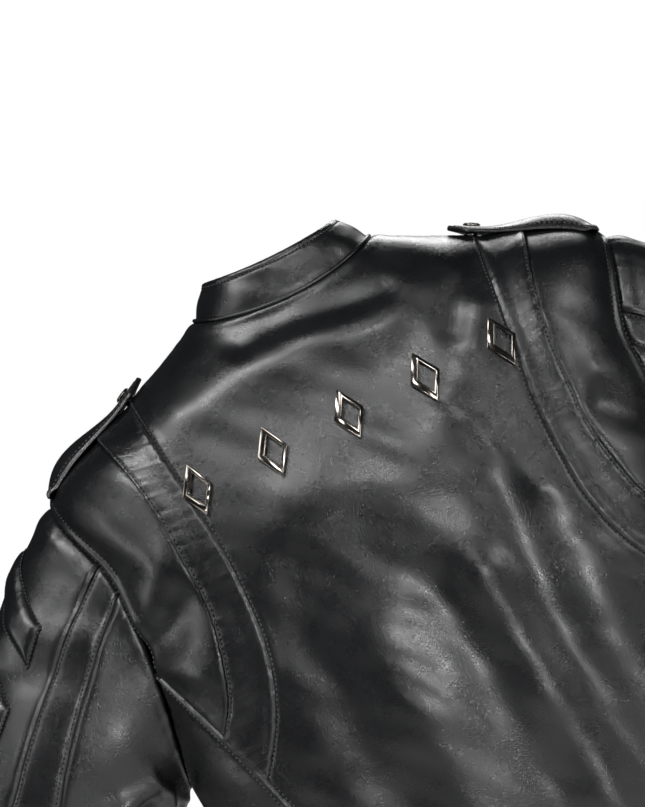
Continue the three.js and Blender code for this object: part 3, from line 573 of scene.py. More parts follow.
def closedShell(name, outer, inner, material, worn=None, tube=False):
    rows, columns = outer.shape[:2]
    points = np.concatenate([outer.reshape(-1, 3), inner.reshape(-1, 3)])
    under = rows * columns
    last = columns if tube else columns - 1
    i, j = np.meshgrid(np.arange(rows - 1), np.arange(last), indexing="ij")
    i, j = i.ravel(), j.ravel()
    k = (j + 1) % columns
    a, b, c, d = i * columns + j, i * columns + k, (i + 1) * columns + k, (i + 1) * columns + j
    faces = [np.stack([a, b, c, d], 1), np.stack([a, d, c, b], 1) + under]
    j = np.arange(last)
    k = (j + 1) % columns
    top = (rows - 1) * columns
    faces += [np.stack([j, under + j, under + k, k], 1),
              np.stack([top + j, top + k, under + top + k, under + top + j], 1)]
    if not tube:
        i = np.arange(rows - 1) * columns
        e = columns - 1
        faces += [np.stack([i, i + columns, under + i + columns, under + i], 1),
                  np.stack([i + e, under + i + e, under + i + columns + e, i + columns + e], 1)]
    faces = np.concatenate(faces)
    p = points[faces]
    volume = np.einsum("ij,ij->i", p[:, 0], np.cross(p[:, 1], p[:, 2])).sum()
    volume += np.einsum("ij,ij->i", p[:, 0], np.cross(p[:, 2], p[:, 3])).sum()
    if volume < 0:
        faces = faces[:, ::-1]
    both = None if worn is None else np.concatenate([worn.ravel(), worn.ravel() * 0])
    return meshObject(name, points, faces, material, both)


edgeSteps = np.array([0, 0.45, 1.0, 1.8, 2.9, 4.4, 6.4])


def spread(width, spacing):
    # columns crowd towards both edges, where the seam rolls in
    most = float(np.max(width))
    count = max(int((most - 2 * edgeSteps[-1]) / spacing), 2)
    middle = np.linspace(0, 1, count + 1)[1:-1]
    edge = edgeSteps[None, :] * np.minimum(1, width / (edgeSteps[-1] * 2.6))[:, None]
    inner = edge[:, -1:] + (width[:, None] - 2 * edge[:, -1:]) * middle[None, :]
    return np.concatenate([edge, inner, width[:, None] - edge[:, ::-1]], 1) / width[:, None]


def rounding(distance, radius):
    d = np.clip(radius - distance, 0, radius)
    return radius - np.sqrt(np.maximum(radius * radius - d * d, 0))


def mirroredPair(mirrored, points, directions):
    # the left side is the right side turned over
    return (points * (-1, 1, 1), directions * (-1, 1, 1)) if mirrored else (points, directions)


def panel(name, surface, rows, span, shape, material=leather, thickness=shellThickness, spacing=3.2, sink=0.0,
          mirrored=False, roundTop=0.0, roundBottom=0.0):
    # shape gets the piece's grid as a dictionary and returns the height of its face over the surface
    rows = np.asarray(rows, float)
    start, end = (np.broadcast_to(edge, rows.shape) for edge in span(rows))
    samples = surface(start[:, None] + (end - start)[:, None] * np.linspace(0, 1, 17), rows[:, None])
    width = np.maximum(np.linalg.norm(np.diff(samples, axis=1), axis=-1).sum(1), 0.5)
    t = spread(width, spacing)
    a = start[:, None] + (end - start)[:, None] * t
    b = np.broadcast_to(rows[:, None], a.shape)
    points, normals = mirroredPair(mirrored, surface(a, b), outward(surface, a, b))
    grid = {"points": points, "a": a, "b": b, "left": t * width[:, None], "right": (1 - t) * width[:, None],
            "bottom": b - rows.min(), "top": rows.max() - b, "mirrored": mirrored}
    height = shape(grid) - sink
    edge = rounding(grid["top"], roundTop) if roundTop else 0.0
    edge = edge + (rounding(grid["bottom"], roundBottom) if roundBottom else 0.0)
    outer = points + normals * (height - edge)[..., None]
    inner = points + normals * (height - thickness + edge)[..., None]
    worn = ridge(np.minimum(grid["left"], grid["right"]) - 1.6, 1, 1.6)
    grid.update(outer=outer, normals=normals, object=closedShell(name, outer, inner, material, worn))
    return grid


def tubePiece(name, rows, shape, material, thickness, columns, mirrored, roundTop=0.0, roundBottom=0.0):
    rows = np.asarray(rows, float)
    a, b = np.meshgrid(np.linspace(0, 360, columns, endpoint=False), rows)
    points, normals = mirroredPair(mirrored, sleeveSurface(a, b), outward(sleeveSurface, a, b))
    grid = {"points": points, "a": a, "b": b, "bottom": b - rows.min(), "top": rows.max() - b,
            "mirrored": mirrored}
    height = shape(grid)
    edge = rounding(grid["top"], roundTop) if roundTop else 0.0
    edge = edge + (rounding(grid["bottom"], roundBottom) if roundBottom else 0.0)
    outer = points + normals * (height - edge)[..., None]
    inner = points + normals * (height - thickness + edge)[..., None]
    made = closedShell(name, outer, inner, material, np.zeros(a.shape), tube=True)
    grid.update(outer=outer, normals=normals, object=made)
    return grid


# stitches and zip teeth, repeated along lines

stitchRuns = {}
holeRuns = {}
toothRuns = {}
stitch = {"pitch": 3.7, "closePitch": 3.145, "lift": 0.2, "size": (2.5, 1.2, 1.1),
          "hole": (1.3, 1.4, 1.0), "holeLift": 0.1}
tooth = {"pitch": 2.4, "size": (1.3, 3.4, 1.5)}


def columnLine(grid, side, inset, first=None, last=None):
    # the line on a piece that keeps an inset from one of its side edges
    keep = slice(None)
    if first is not None:
        rows = grid["b"][:, 0]
        keep = (rows >= first) & (rows <= last)
    distance, outer, normals = grid[side][keep], grid["outer"][keep], grid["normals"][keep]
    line = np.empty((len(outer), 3))
    facing = np.empty((len(outer), 3))
    for i in range(len(outer)):
        order = slice(None) if side == "left" else slice(None, None, -1)
        for k in range(3):
            line[i, k] = np.interp(inset, distance[i][order], outer[i, order, k])
            facing[i, k] = np.interp(inset, distance[i][order], normals[i, order, k])
    return line, facing


def rowLine(grid, level):
    rows = grid["b"][:, 0]
    i = int(np.argmin(np.abs(rows - level)))
    return grid["outer"][i], grid["normals"][i]


def addRun(runs, key, line, facing, pitch, lift, offset=0.5):
    # one repeat every pitch along the line, the first an offset's share of it from the start
    way = np.concatenate([[0], np.cumsum(np.linalg.norm(np.diff(line, axis=0), axis=1))])

    def read(places, values):
        return np.stack([np.interp(places, way, values[:, k]) for k in range(3)], 1)

    places = np.arange(pitch * offset, way[-1], pitch)
    along = read(places + 0.6, line) - read(places - 0.6, line)
    up = read(places, facing)
    runs.setdefault(key, []).append((read(places, line) + up * lift, along, up))


def sew(key, path, pitch=stitch["pitch"], lift=stitch["lift"], closed=False):
    # a row of stitches, with a needle hole between each two
    line, facing = path
    if closed:
        line, facing = np.vstack([line, line[:1]]), np.vstack([facing, facing[:1]])
    addRun(stitchRuns, key, line, facing, pitch, lift)
    addRun(holeRuns, key, line, facing, pitch, stitch["holeLift"], 0.0)


def repeatTree(name, solid):
    tree = bpy.data.node_groups.new(name, "GeometryNodeTree")
    face = tree.interface
    face.new_socket("Geometry", in_out="INPUT", socket_type="NodeSocketGeometry")
    for label in ("Length", "Width", "Height"):
        face.new_socket(label, in_out="INPUT", socket_type="NodeSocketFloat")
    face.new_socket("Finish", in_out="INPUT", socket_type="NodeSocketMaterial")
    face.new_socket("Geometry", in_out="OUTPUT", socket_type="NodeSocketGeometry")
    nodes, links = tree.nodes, tree.links
    given, made = nodes.new("NodeGroupInput"), nodes.new("NodeGroupOutput")
    if solid == "bead":
        shape = nodes.new("GeometryNodeMeshUVSphere")
        shape.inputs["Segments"].default_value = 7
        shape.inputs["Rings"].default_value = 5
        shape.inputs["Radius"].default_value = 0.5
    else:
        shape = nodes.new("GeometryNodeMeshCube")
    size = nodes.new("ShaderNodeCombineXYZ")
    for k, label in enumerate(("Length", "Width", "Height")):
        links.new(given.outputs[label], size.inputs[k])
    scaled = nodes.new("GeometryNodeTransform")
    links.new(shape.outputs["Mesh"], scaled.inputs["Geometry"])
    links.new(size.outputs["Vector"], scaled.inputs["Scale"])
    turned = None
    for axis, label in (("X", "along"), ("Z", "up")):
        read = nodes.new("GeometryNodeInputNamedAttribute")
        read.data_type = "FLOAT_VECTOR"
        read.inputs["Name"].default_value = label
        align = nodes.new("FunctionNodeAlignRotationToVector")
        align.axis = axis
        if turned is not None:
            align.pivot_axis = "X"
            links.new(turned, align.inputs["Rotation"])
        links.new(read.outputs["Attribute"], align.inputs["Vector"])
        turned = align.outputs["Rotation"]
    spots = nodes.new("GeometryNodeInstanceOnPoints")
    links.new(given.outputs["Geometry"], spots.inputs["Points"])
    links.new(scaled.outputs["Geometry"], spots.inputs["Instance"])
    links.new(turned, spots.inputs["Rotation"])
    real = nodes.new("GeometryNodeRealizeInstances")
    shaded = nodes.new("GeometryNodeSetShadeSmooth")
    shaded.inputs["Shade Smooth"].default_value = solid == "bead"
    finish = nodes.new("GeometryNodeSetMaterial")
    links.new(spots.outputs["Instances"], real.inputs["Geometry"])
    links.new(real.outputs["Geometry"], shaded.inputs["Geometry"])
    links.new(shaded.outputs["Geometry"], finish.inputs["Geometry"])
    links.new(given.outputs["Finish"], finish.inputs["Material"])
    links.new(finish.outputs["Geometry"], made.inputs["Geometry"])
    return tree


def baked(source, name, material):
    # the evaluated result as a plain mesh object
    graph = bpy.context.evaluated_depsgraph_get()
    mesh = bpy.data.meshes.new_from_object(source.evaluated_get(graph))
    mesh.name = name
    if not len(mesh.materials):
        mesh.materials.append(material)
    made = bpy.data.objects.new(name, mesh)
    bpy.context.scene.collection.objects.link(made)
    bpy.data.objects.remove(source)
    return made


def repeated(name, runs, tree, size, material):
    at, along, up = (np.concatenate([run[k] for run in runs]) for k in range(3))
    mesh = bpy.data.meshes.new(name + "Spots")
    mesh.from_pydata((at * mm).tolist(), [], [])
    for label, values in (("along", along), ("up", up)):
        mesh.attributes.new(label, "FLOAT_VECTOR", "POINT").data.foreach_set("vector", values.ravel())
    spots = bpy.data.objects.new(name + "Spots", mesh)
    bpy.context.scene.collection.objects.link(spots)
    modifier = spots.modifiers.new("repeat", "NODES")
    modifier.node_group = tree
    sockets = {s.name: s.identifier for s in tree.interface.items_tree if s.in_out == "INPUT"}
    for label, value in zip(("Length", "Width", "Height"), size):
        modifier[sockets[label]] = value * mm
    modifier[sockets["Finish"]] = material
    return baked(spots, name, material)


stitchTree = repeatTree("sewnStitches", "bead")
toothTree = repeatTree("zipTeeth", "block")

# body panels

seams = {  # distance from the centre line by level
    "bandInner": ([290, 335, 361, 386, 419, 458, 498, 540, 578, 680],
                  [205, 166, 148, 136, 127, 124, 124.5, 129, 133, 142]),
    "bandOuter": ([350, 370, 384, 434, 505, 564, 640, 680], [200, 184, 173, 155, 152, 158, 176, 190]),
    "side": ([0, 150, 298, 370, 430], [118, 124, 159, 184, 208]),
    "frontEdge": ([0, 390, 410, 430, 510, 578, 753], [9, 9, 9, 9.4, 16, 26, 42]),
}


def seamX(name, level):
    return smooth(*seams[name], level)


def crossing(difference, low, high):
    sign = np.sign(difference(np.array(float(low))))
    for _ in range(40):
        middle = (low + high) / 2
        if np.sign(difference(np.array(middle))) == sign:
            low = middle
        else:
            high = middle
    return (low + high) / 2



def halfWidth(level):
    return smooth(body["level"], body["half"], level)


bandFoot = crossing(lambda l: seamX("side", l) - seamX("bandInner", l), 320, 345)
bandOuterFoot = crossing(lambda l: seamX("side", l) - seamX("bandOuter", l), 360, 384)
sideTop = crossing(lambda l: angleAt(seamX("side", l), l) - armholeAngle(l, 1), 390, 430)
bandOuterTop = crossing(lambda l: halfWidth(l) - seamX("bandOuter", l), 590, 679)
bandInnerTop = crossing(lambda l: halfWidth(l) - seamX("bandInner", l), 590, 679)


def sideAngle(level):
    return np.where(level < sideTop, angleAt(seamX("side", level), level), 0.0)


def bandInnerAngle(level):
    return np.where(level >= bandFoot, angleAt(seamX("bandInner", level), level), 0.0)


def bandOuterAngle(level):
    return np.where(level >= bandOuterFoot, angleAt(seamX("bandOuter", level), level), 0.0)


def levelsBetween(low, high, spacing=2.6, extra=()):
    inside = np.linspace(low, high, max(int((high - low) / spacing), 4) + 1)
    ends = [low + d for d in edgeSteps[1:-1]] + [high - d for d in edgeSteps[1:-1]]
    return np.unique(np.round(np.concatenate([inside, ends, extra]), 3))


def finishPiece(made, body, slot, *nodes):
    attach(made, body)
    if nodes:
        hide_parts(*nodes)


band = {"lift": 3.2, "gapTop": 2.0, "gapDepth": 6.0, "topstitch": 3.0, "thickness": 3.2}
shoulder = {"firstRow": 2.6, "secondRow": 12.5}
sides = (("right", False, 1), ("left", True, -1))


def backShape(grid):
    height = bodyRelief(grid["points"], grid["a"], grid["b"])
    for side in ("left", "right"):
        gathers = pucker(grid["b"], grid[side], spacing=13, height=0.22, reach=7)
        height = height + rolled(grid[side], depth=1.3, puff=0.35)
        height = height + np.where(grid["b"] > bandFoot, gathers, 0)
    height = height + rolled(grid["top"], depth=1.6, width=2.0, puff=0) + ridge(grid["top"] - 7, 1.4, 6)
    return height + rolled(grid["bottom"], depth=1.2, width=1.6, puff=0.4)


def backSpan(level):
    edge = np.where(level < bandFoot, sideAngle(level), bandInnerAngle(level))
    return -180 + edge, -edge


backPanel = panel("backPanel", bodyPoint, levelsBetween(body["hem"], body["neck"]), backSpan, backShape,
                  spacing=3.0)
finishPiece(backPanel["object"], "jacket", "leather", "back_panel")
for side in ("left", "right"):
    sew("jacket", columnLine(backPanel, side, 2.3, bandFoot, bandInnerTop))
    sew("jacket", columnLine(backPanel, side, 3.6, body["hem"] + 3, bandFoot - 6))
print("back panel made")


def bandShape(grid):
    inner, outer = grid["left"], grid["right"]
    share = np.clip(inner / np.maximum(inner + outer, 1), 0, 1)
    rise = eased((share - 0.15) / 0.75) * eased(grid["bottom"] / 30) * eased(grid["top"] / 25)
    height = bodyRelief(grid["points"], grid["a"], grid["b"]) * 0.75 + band["lift"] * rise
    height = height + rolled(inner, depth=1.3, puff=0.4) - rounding(outer, 2.0) * 0.8
    height = height + pucker(grid["b"], outer, spacing=10, height=0.62, reach=9)
    height = height + pucker(grid["b"] + 60, inner, spacing=12, height=0.35, reach=6)
    return height - ridge(outer - band["topstitch"], 0.55, 1.0)


def shoulderShape(grid):
    toBand, toArmhole, level = grid["left"], grid["right"], grid["b"]
    height = bodyRelief(grid["points"], grid["a"], level)
    low = eased((560 - level) / 110)
    gap = band["gapTop"] + (band["gapDepth"] - band["gapTop"]) * low
    height = height - ridge(np.maximum(toBand - 1.5, 0), gap, 2.2 + 1.4 * low)
    height = height + ridge(toArmhole - 6.5, 1.8, 4.2) * eased((level - 430) / 60)
    height = height - ridge(toArmhole - shoulder["secondRow"], 0.7, 1.6) * eased((level - 505) / 20)
    height = height + rolled(toArmhole, depth=1.5, width=1.6, puff=0.3)
    height = height + pucker(level, toArmhole, spacing=11, height=0.3, reach=10)
    return height + rolled(grid["bottom"], depth=1.0, width=1.4, puff=0.4)


def sidePanelShape(grid):
    seam = grid["left"]
    height = bodyRelief(grid["points"], grid["a"], grid["b"]) + ridge(seam - 3.2, 1.5, 3.4)
    height = height + rolled(seam, depth=1.4, width=1.2, puff=0) + rolled(grid["right"], depth=1.2)
    height = height + pucker(grid["b"], seam, spacing=12, height=0.35, reach=9)
    return height + rolled(grid["bottom"], depth=1.2, width=1.6, puff=0.4)


def frontShape(grid):
    height = bodyRelief(grid["points"], grid["a"], grid["b"]) + rolled(grid["left"], depth=1.2)
    height = height + rolled(grid["right"], depth=0.9, width=1.6, puff=0.5, puffAt=4)
    height = height + rolled(grid["bottom"], depth=1.2, width=1.6, puff=0.4)
    return height + rolled(grid["top"], depth=1.4, width=2.0, puff=0)


for side, mirrored, sign in sides:
    made = panel(f"backBand_{side}", bodyPoint, levelsBetween(bandFoot + 1.5, bandInnerTop - 2, 2.2),
                 lambda l: (-bandInnerAngle(l), -np.maximum(bandOuterAngle(l), sideAngle(l)) + 0.4),
                 bandShape, spacing=2.6, thickness=band["thickness"], mirrored=mirrored)
    finishPiece(made["object"], "jacket", "leather", f"back_band_{side}")
    sew("jacket", columnLine(made, "right", band["topstitch"], bandOuterFoot + 6, bandOuterTop - 6))
    made = panel(f"shoulderPanel_{side}", bodyPoint, levelsBetween(bandOuterFoot - 3, bandOuterTop + 2, 2.4),
                 lambda l: (-np.maximum(bandOuterAngle(l), 0) - 1.1 * eased((bandOuterTop - l) / 30),
                            -np.maximum(sideAngle(l), armholeAngle(l, 1))),
                 shoulderShape, spacing=2.8, mirrored=mirrored)
    finishPiece(made["object"], "jacket", "leather", f"shoulder_panel_{side}")
    sew("jacket", columnLine(made, "right", shoulder["firstRow"], sideTop + 6, body["shoulderTip"]))
    sew("jacket", columnLine(made, "right", shoulder["secondRow"], 512, body["shoulderTip"] + 4))
    made = panel(f"sidePanel_{side}", bodyPoint, levelsBetween(body["hem"], sideTop + 4, 2.6),
                 lambda l: (-sideAngle(l) - 0.3, -armholeAngle(l, 1)), sidePanelShape, mirrored=mirrored)
    finishPiece(made["object"], "jacket", "leather", f"side_panel_{side}")
    sew("jacket", columnLine(made, "left", 4.6, body["hem"] + 3, sideTop - 4))
    made = panel(f"frontPanel_{side}", bodyPoint, levelsBetween(body["hem"], body["neck"], 3.0),
                 lambda l: (armholeAngle(l, -1), angleAt(seamX("frontEdge", l), l)), frontShape, spacing=3.4,
                 mirrored=mirrored)
    finishPiece(made["object"], "jacket", "leather", f"front_panel_{side}")
    sew("jacket", columnLine(made, "right", 4.0, body["hem"] + 3, body["neck"] - 3))
    sew("jacket", columnLine(made, "left", 3.0, 360, 572))
print("body panels made")

# hem, collar and lining

bandDepth = 6.0  # hem, collar and cuffs close over the shell and the lining


hem = {"rows": (4.5, 40.5), "spacing": 3.6, "roundTop": 1.4, "roundBottom": 2.6}


def hemShape(grid):
    height = 0.5 * ripples(grid["a"] * 3.2, grid["b"], 0.8)
    for level in hem["rows"]:
        height = height - ridge(grid["b"] - level, 0.35, 0.9)
    return height + rolled(grid["left"], depth=0.9) + rolled(grid["right"], depth=0.9)


hemRows = np.unique(np.concatenate([np.linspace(0, body["hem"], 23), hem["rows"], [0.3, 0.8, 1.5],
                                    body["hem"] - np.array([1.6, 0.7, 0.2])]))
hemPieces = [("hemBack", "hem_band_back", lambda l: (-180 + 0 * l, 0 * l), False)]
for side, mirrored, sign in sides:
    hemPieces.append((f"hemFront_{side}", f"hem_band_front_{side}",
                      lambda l: (0 * l, angleAt(seamX("frontEdge", l), l)), mirrored))
for name, node, span, mirrored in hemPieces:
    made = panel(name, bodyPoint, hemRows, span, hemShape, thickness=bandDepth, spacing=hem["spacing"],
                 mirrored=mirrored, roundTop=hem["roundTop"], roundBottom=hem["roundBottom"])
    finishPiece(made["object"], "jacket", "leather", node)
    for level in hem["rows"]:
        sew("jacket", rowLine(made, level))

collar = {"narrowing": 0.24, "fall": 0.27, "lean": 3.0, "topstitch": 5.0}
collarEnd = float(angleAt(np.array(42.0), np.array(753.0)))


def collarPoint(angle, height):
    share = np.asarray(height, float) / body["collar"]
    foot = bodyPoint(angle, np.full(np.broadcast(angle, height).shape, float(body["neck"])))
    x = foot[..., 0] * (1 - collar["narrowing"] * share)
    y = (foot[..., 1] - depthShift) * (1 - 0.03 * share) + collar["lean"] * share + depthShift
    fallen = 1 - collar["fall"] * np.cos(np.radians(angle)) ** 2
    return np.stack([x, y, foot[..., 2] + height * fallen], -1)


def collarShape(grid):
    u, h = np.radians(grid["a"]) * 66, grid["b"]
    height = ripples(u, h * 1.6, 0.7) * eased(h / 8) * eased((body["collar"] - h) / 8)
    height = height + ridge(h - 15, 0.9, 10) - ridge(grid["top"] - collar["topstitch"], 0.5, 1.0)
    height = height + pucker(u, grid["top"], spacing=9, height=0.22, reach=8)
    return height + rolled(grid["left"], depth=0.9) + rolled(grid["right"], depth=0.9)


topRow = body["collar"] - collar["topstitch"]
collarRows = np.unique(np.concatenate([np.linspace(0.2, body["collar"], 25), [0.5, 1.0, topRow],
                                       body["collar"] - np.array([0.15, 0.4, 0.8, 1.4, 2.2])]))
standCollar = panel("standCollar", collarPoint, collarRows,
                    lambda l: (-180 - collarEnd + 0 * l, collarEnd + 0 * l), collarShape,
                    thickness=bandDepth, spacing=2.6, roundTop=2.8, roundBottom=1.0)
finishPiece(standCollar["object"], "jacket", "leather", "stand_collar")
sew("jacket", rowLine(standCollar, topRow), stitch["closePitch"])
for side in ("left", "right"):
    sew("jacket", columnLine(standCollar, side, 5.0, 3, topRow), stitch["closePitch"])

piping = {"radius": 1.5, "out": 0.9, "sides": 10}


def tidyNormals(made):
    work = bmesh.new()
    work.from_mesh(made.data)
    bmesh.ops.recalc_face_normals(work, faces=work.faces)
    for face in work.faces:
        face.smooth = True
    work.to_mesh(made.data)
    work.free()


def makePiping():
    # the rolled edge in the neck seam
    angles = np.linspace(-180 - collarEnd + 1, collarEnd - 1, 220)
    at = collarPoint(angles, np.zeros_like(angles))
    facing = outward(collarPoint, angles, np.full_like(angles, 2.0))
    along = np.gradient(at, axis=0)
    along /= np.linalg.norm(along, axis=1, keepdims=True)
    up = np.cross(along, facing)
    ring = np.linspace(0, 2 * math.pi, piping["sides"], endpoint=False)
    ends = np.minimum(np.arange(len(angles)), np.arange(len(angles))[::-1])
    radius = piping["radius"] * np.sqrt(np.clip((ends + 0.3) / 4, 0.05, 1))
    centre = at + facing * piping["out"] + (0, 0, 0.4)
    skin = centre[:, None] + radius[:, None, None] * (
        np.cos(ring)[None, :, None] * facing[:, None] + np.sin(ring)[None, :, None] * up[:, None])
    n, m = skin.shape[:2]
    i, j = (g.ravel() for g in np.meshgrid(np.arange(n - 1), np.arange(m), indexing="ij"))
    k = (j + 1) % m
    quads = np.stack([i * m + j, (i + 1) * m + j, (i + 1) * m + k, i * m + k], 1)
    points = np.vstack([skin.reshape(-1, 3), centre[:1], centre[-1:]])
    caps = [(n * m, a, (a + 1) % m) for a in range(m)]
    caps += [(n * m + 1, (n - 1) * m + (a + 1) % m, (n - 1) * m + a) for a in range(m)]
    mesh = bpy.data.meshes.new("neckPiping")
    mesh.from_pydata((points * mm).tolist(), [], quads.tolist() + caps)
    mesh.materials.append(leather)
    made = bpy.data.objects.new("neckPiping", mesh)
    bpy.context.scene.collection.objects.link(made)
    tidyNormals(made)
    finishPiece(made, "jacket", "leather")


makePiping()
lining = {"under": 5.6, "underBack": 1.2, "spacing": 7, "thickness": 0.8, "behindTape": 14, "inSleeve": 6.4}


def liningShape(grid):
    # a little deeper under the band's open gap
    deeper = lining["underBack"] * eased((grid["b"] - 330) / 40) * (grid["a"] < 0)
    return bodyRelief(grid["points"], grid["a"], grid["b"]) - lining["under"] - deeper


liningRows = levelsBetween(body["hem"], body["neck"], lining["spacing"])
linings = [("liningBack", "lining_back", lambda l: (-180 + armholeAngle(l, 1), -armholeAngle(l, 1)), False)]
for side, mirrored, sign in sides:
    linings.append((f"liningFront_{side}", f"lining_front_{side}",
                    lambda l: (armholeAngle(l, -1), angleAt(seamX("frontEdge", l) + lining["behindTape"], l)),
                    mirrored))
for name, node, span, mirrored in linings:
    made = panel(name, bodyPoint, liningRows, span, liningShape, material=satin,
                 thickness=lining["thickness"], spacing=lining["spacing"], mirrored=mirrored)
    finishPiece(made["object"], "jacket", "lining", node)
print("hem, collar and lining made")

# sleeves

headStart = 0.4 - sleeve["head"]
tubeEnd = sleeve["length"] - sleeve["cuff"]
sleeveRow = 3.0  # rows of stitching, from the seam and from the cuff's edge
cuffRow = 4.5


def stripeEdge(way, k):
    return np.interp(way, [-sleeve["head"], 0], [sleeve["stripeAtArmhole"][k], sleeve["stripe"][k]])


def underEdge(way):
    return np.interp(way, [-sleeve["head"], 0], [sleeve["underSeamAtArmhole"], sleeve["underSeam"]])


def sleeveTopShape(grid):
    height = sleeveRelief(grid["a"], grid["b"], grid["mirrored"]) + ridge(grid["bottom"] - 9, 2.4, 7)
    height = height + rolled(grid["left"], depth=1.2) + rolled(grid["right"], depth=1.4, width=1.6, puff=0.3)
    height = height + rolled(grid["bottom"], depth=1.5, width=1.6, puff=0)
    return height + pucker(grid["a"] * 1.3, grid["bottom"], spacing=12, height=0.35, reach=12)


def stripeShape(grid):
    share = grid["left"] / np.maximum(grid["left"] + grid["right"], 1)
    height = sleeveRelief(grid["a"], grid["b"], grid["mirrored"]) * 0.7 + 1.1 * np.sin(np.pi * share) ** 0.8
    for side in ("left", "right"):
        height = height + rolled(grid[side], depth=1.4, width=1.3, puff=0.2)
        height = height + pucker(grid["b"], grid[side], spacing=14, height=0.3, reach=6)
        height = height - ridge(grid[side] - sleeveRow, 0.35, 0.9)
    return height + rolled(grid["bottom"], depth=1.5, width=1.6, puff=0.6)


def sleeveUnderShape(grid):
    height = sleeveRelief(grid["a"], grid["b"], grid["mirrored"])
    height = height + rolled(grid["left"], depth=1.4, width=1.6, puff=0.3) + rolled(grid["right"], depth=1.2)
    height = height + rolled(grid["bottom"], depth=1.5, width=1.6, puff=0.6)
    return height + pucker(grid["a"] * 1.3, grid["bottom"], spacing=12, height=0.45, reach=12)


def sleeveLiningShape(grid):
    return sleeveRelief(grid["a"], grid["b"], grid["mirrored"]) - lining["inSleeve"]


def cuffShape(grid):
    height = ripples(grid["a"] * 0.7, grid["b"], 0.6) - ridge(grid["top"] - cuffRow, 0.35, 0.9)
    return height + rolled(grid["bottom"], depth=1.2, puff=0.4)


def across(made, side):
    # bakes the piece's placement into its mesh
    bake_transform(made)


def sleevePiece(made, side, slot, *nodes):
    across(made, side)
    if nodes:
        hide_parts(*nodes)


sleeveRows = levelsBetween(headStart, tubeEnd)
cuffRows = np.unique(np.concatenate([np.linspace(tubeEnd, sleeve["length"], 23),
                                     tubeEnd + np.array([0.3, 0.8, 1.5]),
                                     sleeve["length"] - np.array([0.2, 0.6, 1.2, 2.0, cuffRow])]))
for side, mirrored, sign in sides:
    key = f"sleeve_{side}"
    made = panel(f"sleeveTop_{side}", sleeveSurface, sleeveRows,
                 lambda w: (underEdge(w) - 360, stripeEdge(w, 0)), sleeveTopShape, mirrored=mirrored)
    sleevePiece(made["object"], side, "leather", f"sleeve_top_panel_{side}", f"sleeve_head_{side}")
    made = panel(f"sleeveStripe_{side}", sleeveSurface, sleeveRows,
                 lambda w: (stripeEdge(w, 0), stripeEdge(w, 1)), stripeShape, spacing=2.6, mirrored=mirrored)
    sleevePiece(made["object"], side, "leather", f"sleeve_stripe_{side}")
    for edge in ("left", "right"):
        sew(key, columnLine(made, edge, sleeveRow))
    made = panel(f"sleeveUnder_{side}", sleeveSurface, sleeveRows,
                 lambda w: (stripeEdge(w, 1), underEdge(w)), sleeveUnderShape, mirrored=mirrored)
    sleevePiece(made["object"], side, "leather", f"sleeve_under_panel_{side}")
    sew(key, columnLine(made, "right", sleeveRow))
    made = tubePiece(f"sleeveLining_{side}", levelsBetween(headStart + 4, tubeEnd, lining["spacing"]),
                     sleeveLiningShape, satin, lining["thickness"], 72, mirrored)
    sleevePiece(made["object"], side, "lining", f"sleeve_lining_{side}")
    made = tubePiece(f"cuff_{side}", cuffRows, cuffShape, leather, bandDepth, 110, mirrored, 2.6, 1.0)
    finishPiece(made["object"], key, "leather", f"cuff_{side}")
    for level in (sleeve["length"] - cuffRow, tubeEnd + 4.0):
        sew(key, rowLine(made, level), closed=True)
print("sleeves made")

# quilted chevrons on the sleeve's outer side

chevron = {"tipTurn": 50, "firstTip": -111, "pitch": 60, "count": 5, "long": 30, "rise": 48, "bow": 0.94,
           "crown": 3.7, "crownWidth": 7.0, "across": 0.78, "sunk": 1.4, "lift": 0.3, "crease": 0.8,
           "stitchPitch": 3.33, "stitchLift": 0.6, "fill": 0.7, "nodeIndex": 2,
           "voxel": 0.0016, "pressure": 4.0, "cap": 3.4, "keep": 0.45, "frames": 20}


def alongSleeve(turn, distance):
    # a distance from the ring, negative on the head, as a place in the sleeve's own measure
    steps = np.linspace(-sleeve["head"], -0.001, 25)
    samples = sleeveSurface(turn[..., None] + 0 * steps, steps + 0 * turn[..., None])
    headLength = np.linalg.norm(np.diff(samples, axis=-2), axis=-1).sum(-1)
    return np.where(distance < 0, distance * sleeve["head"] / headLength, distance)


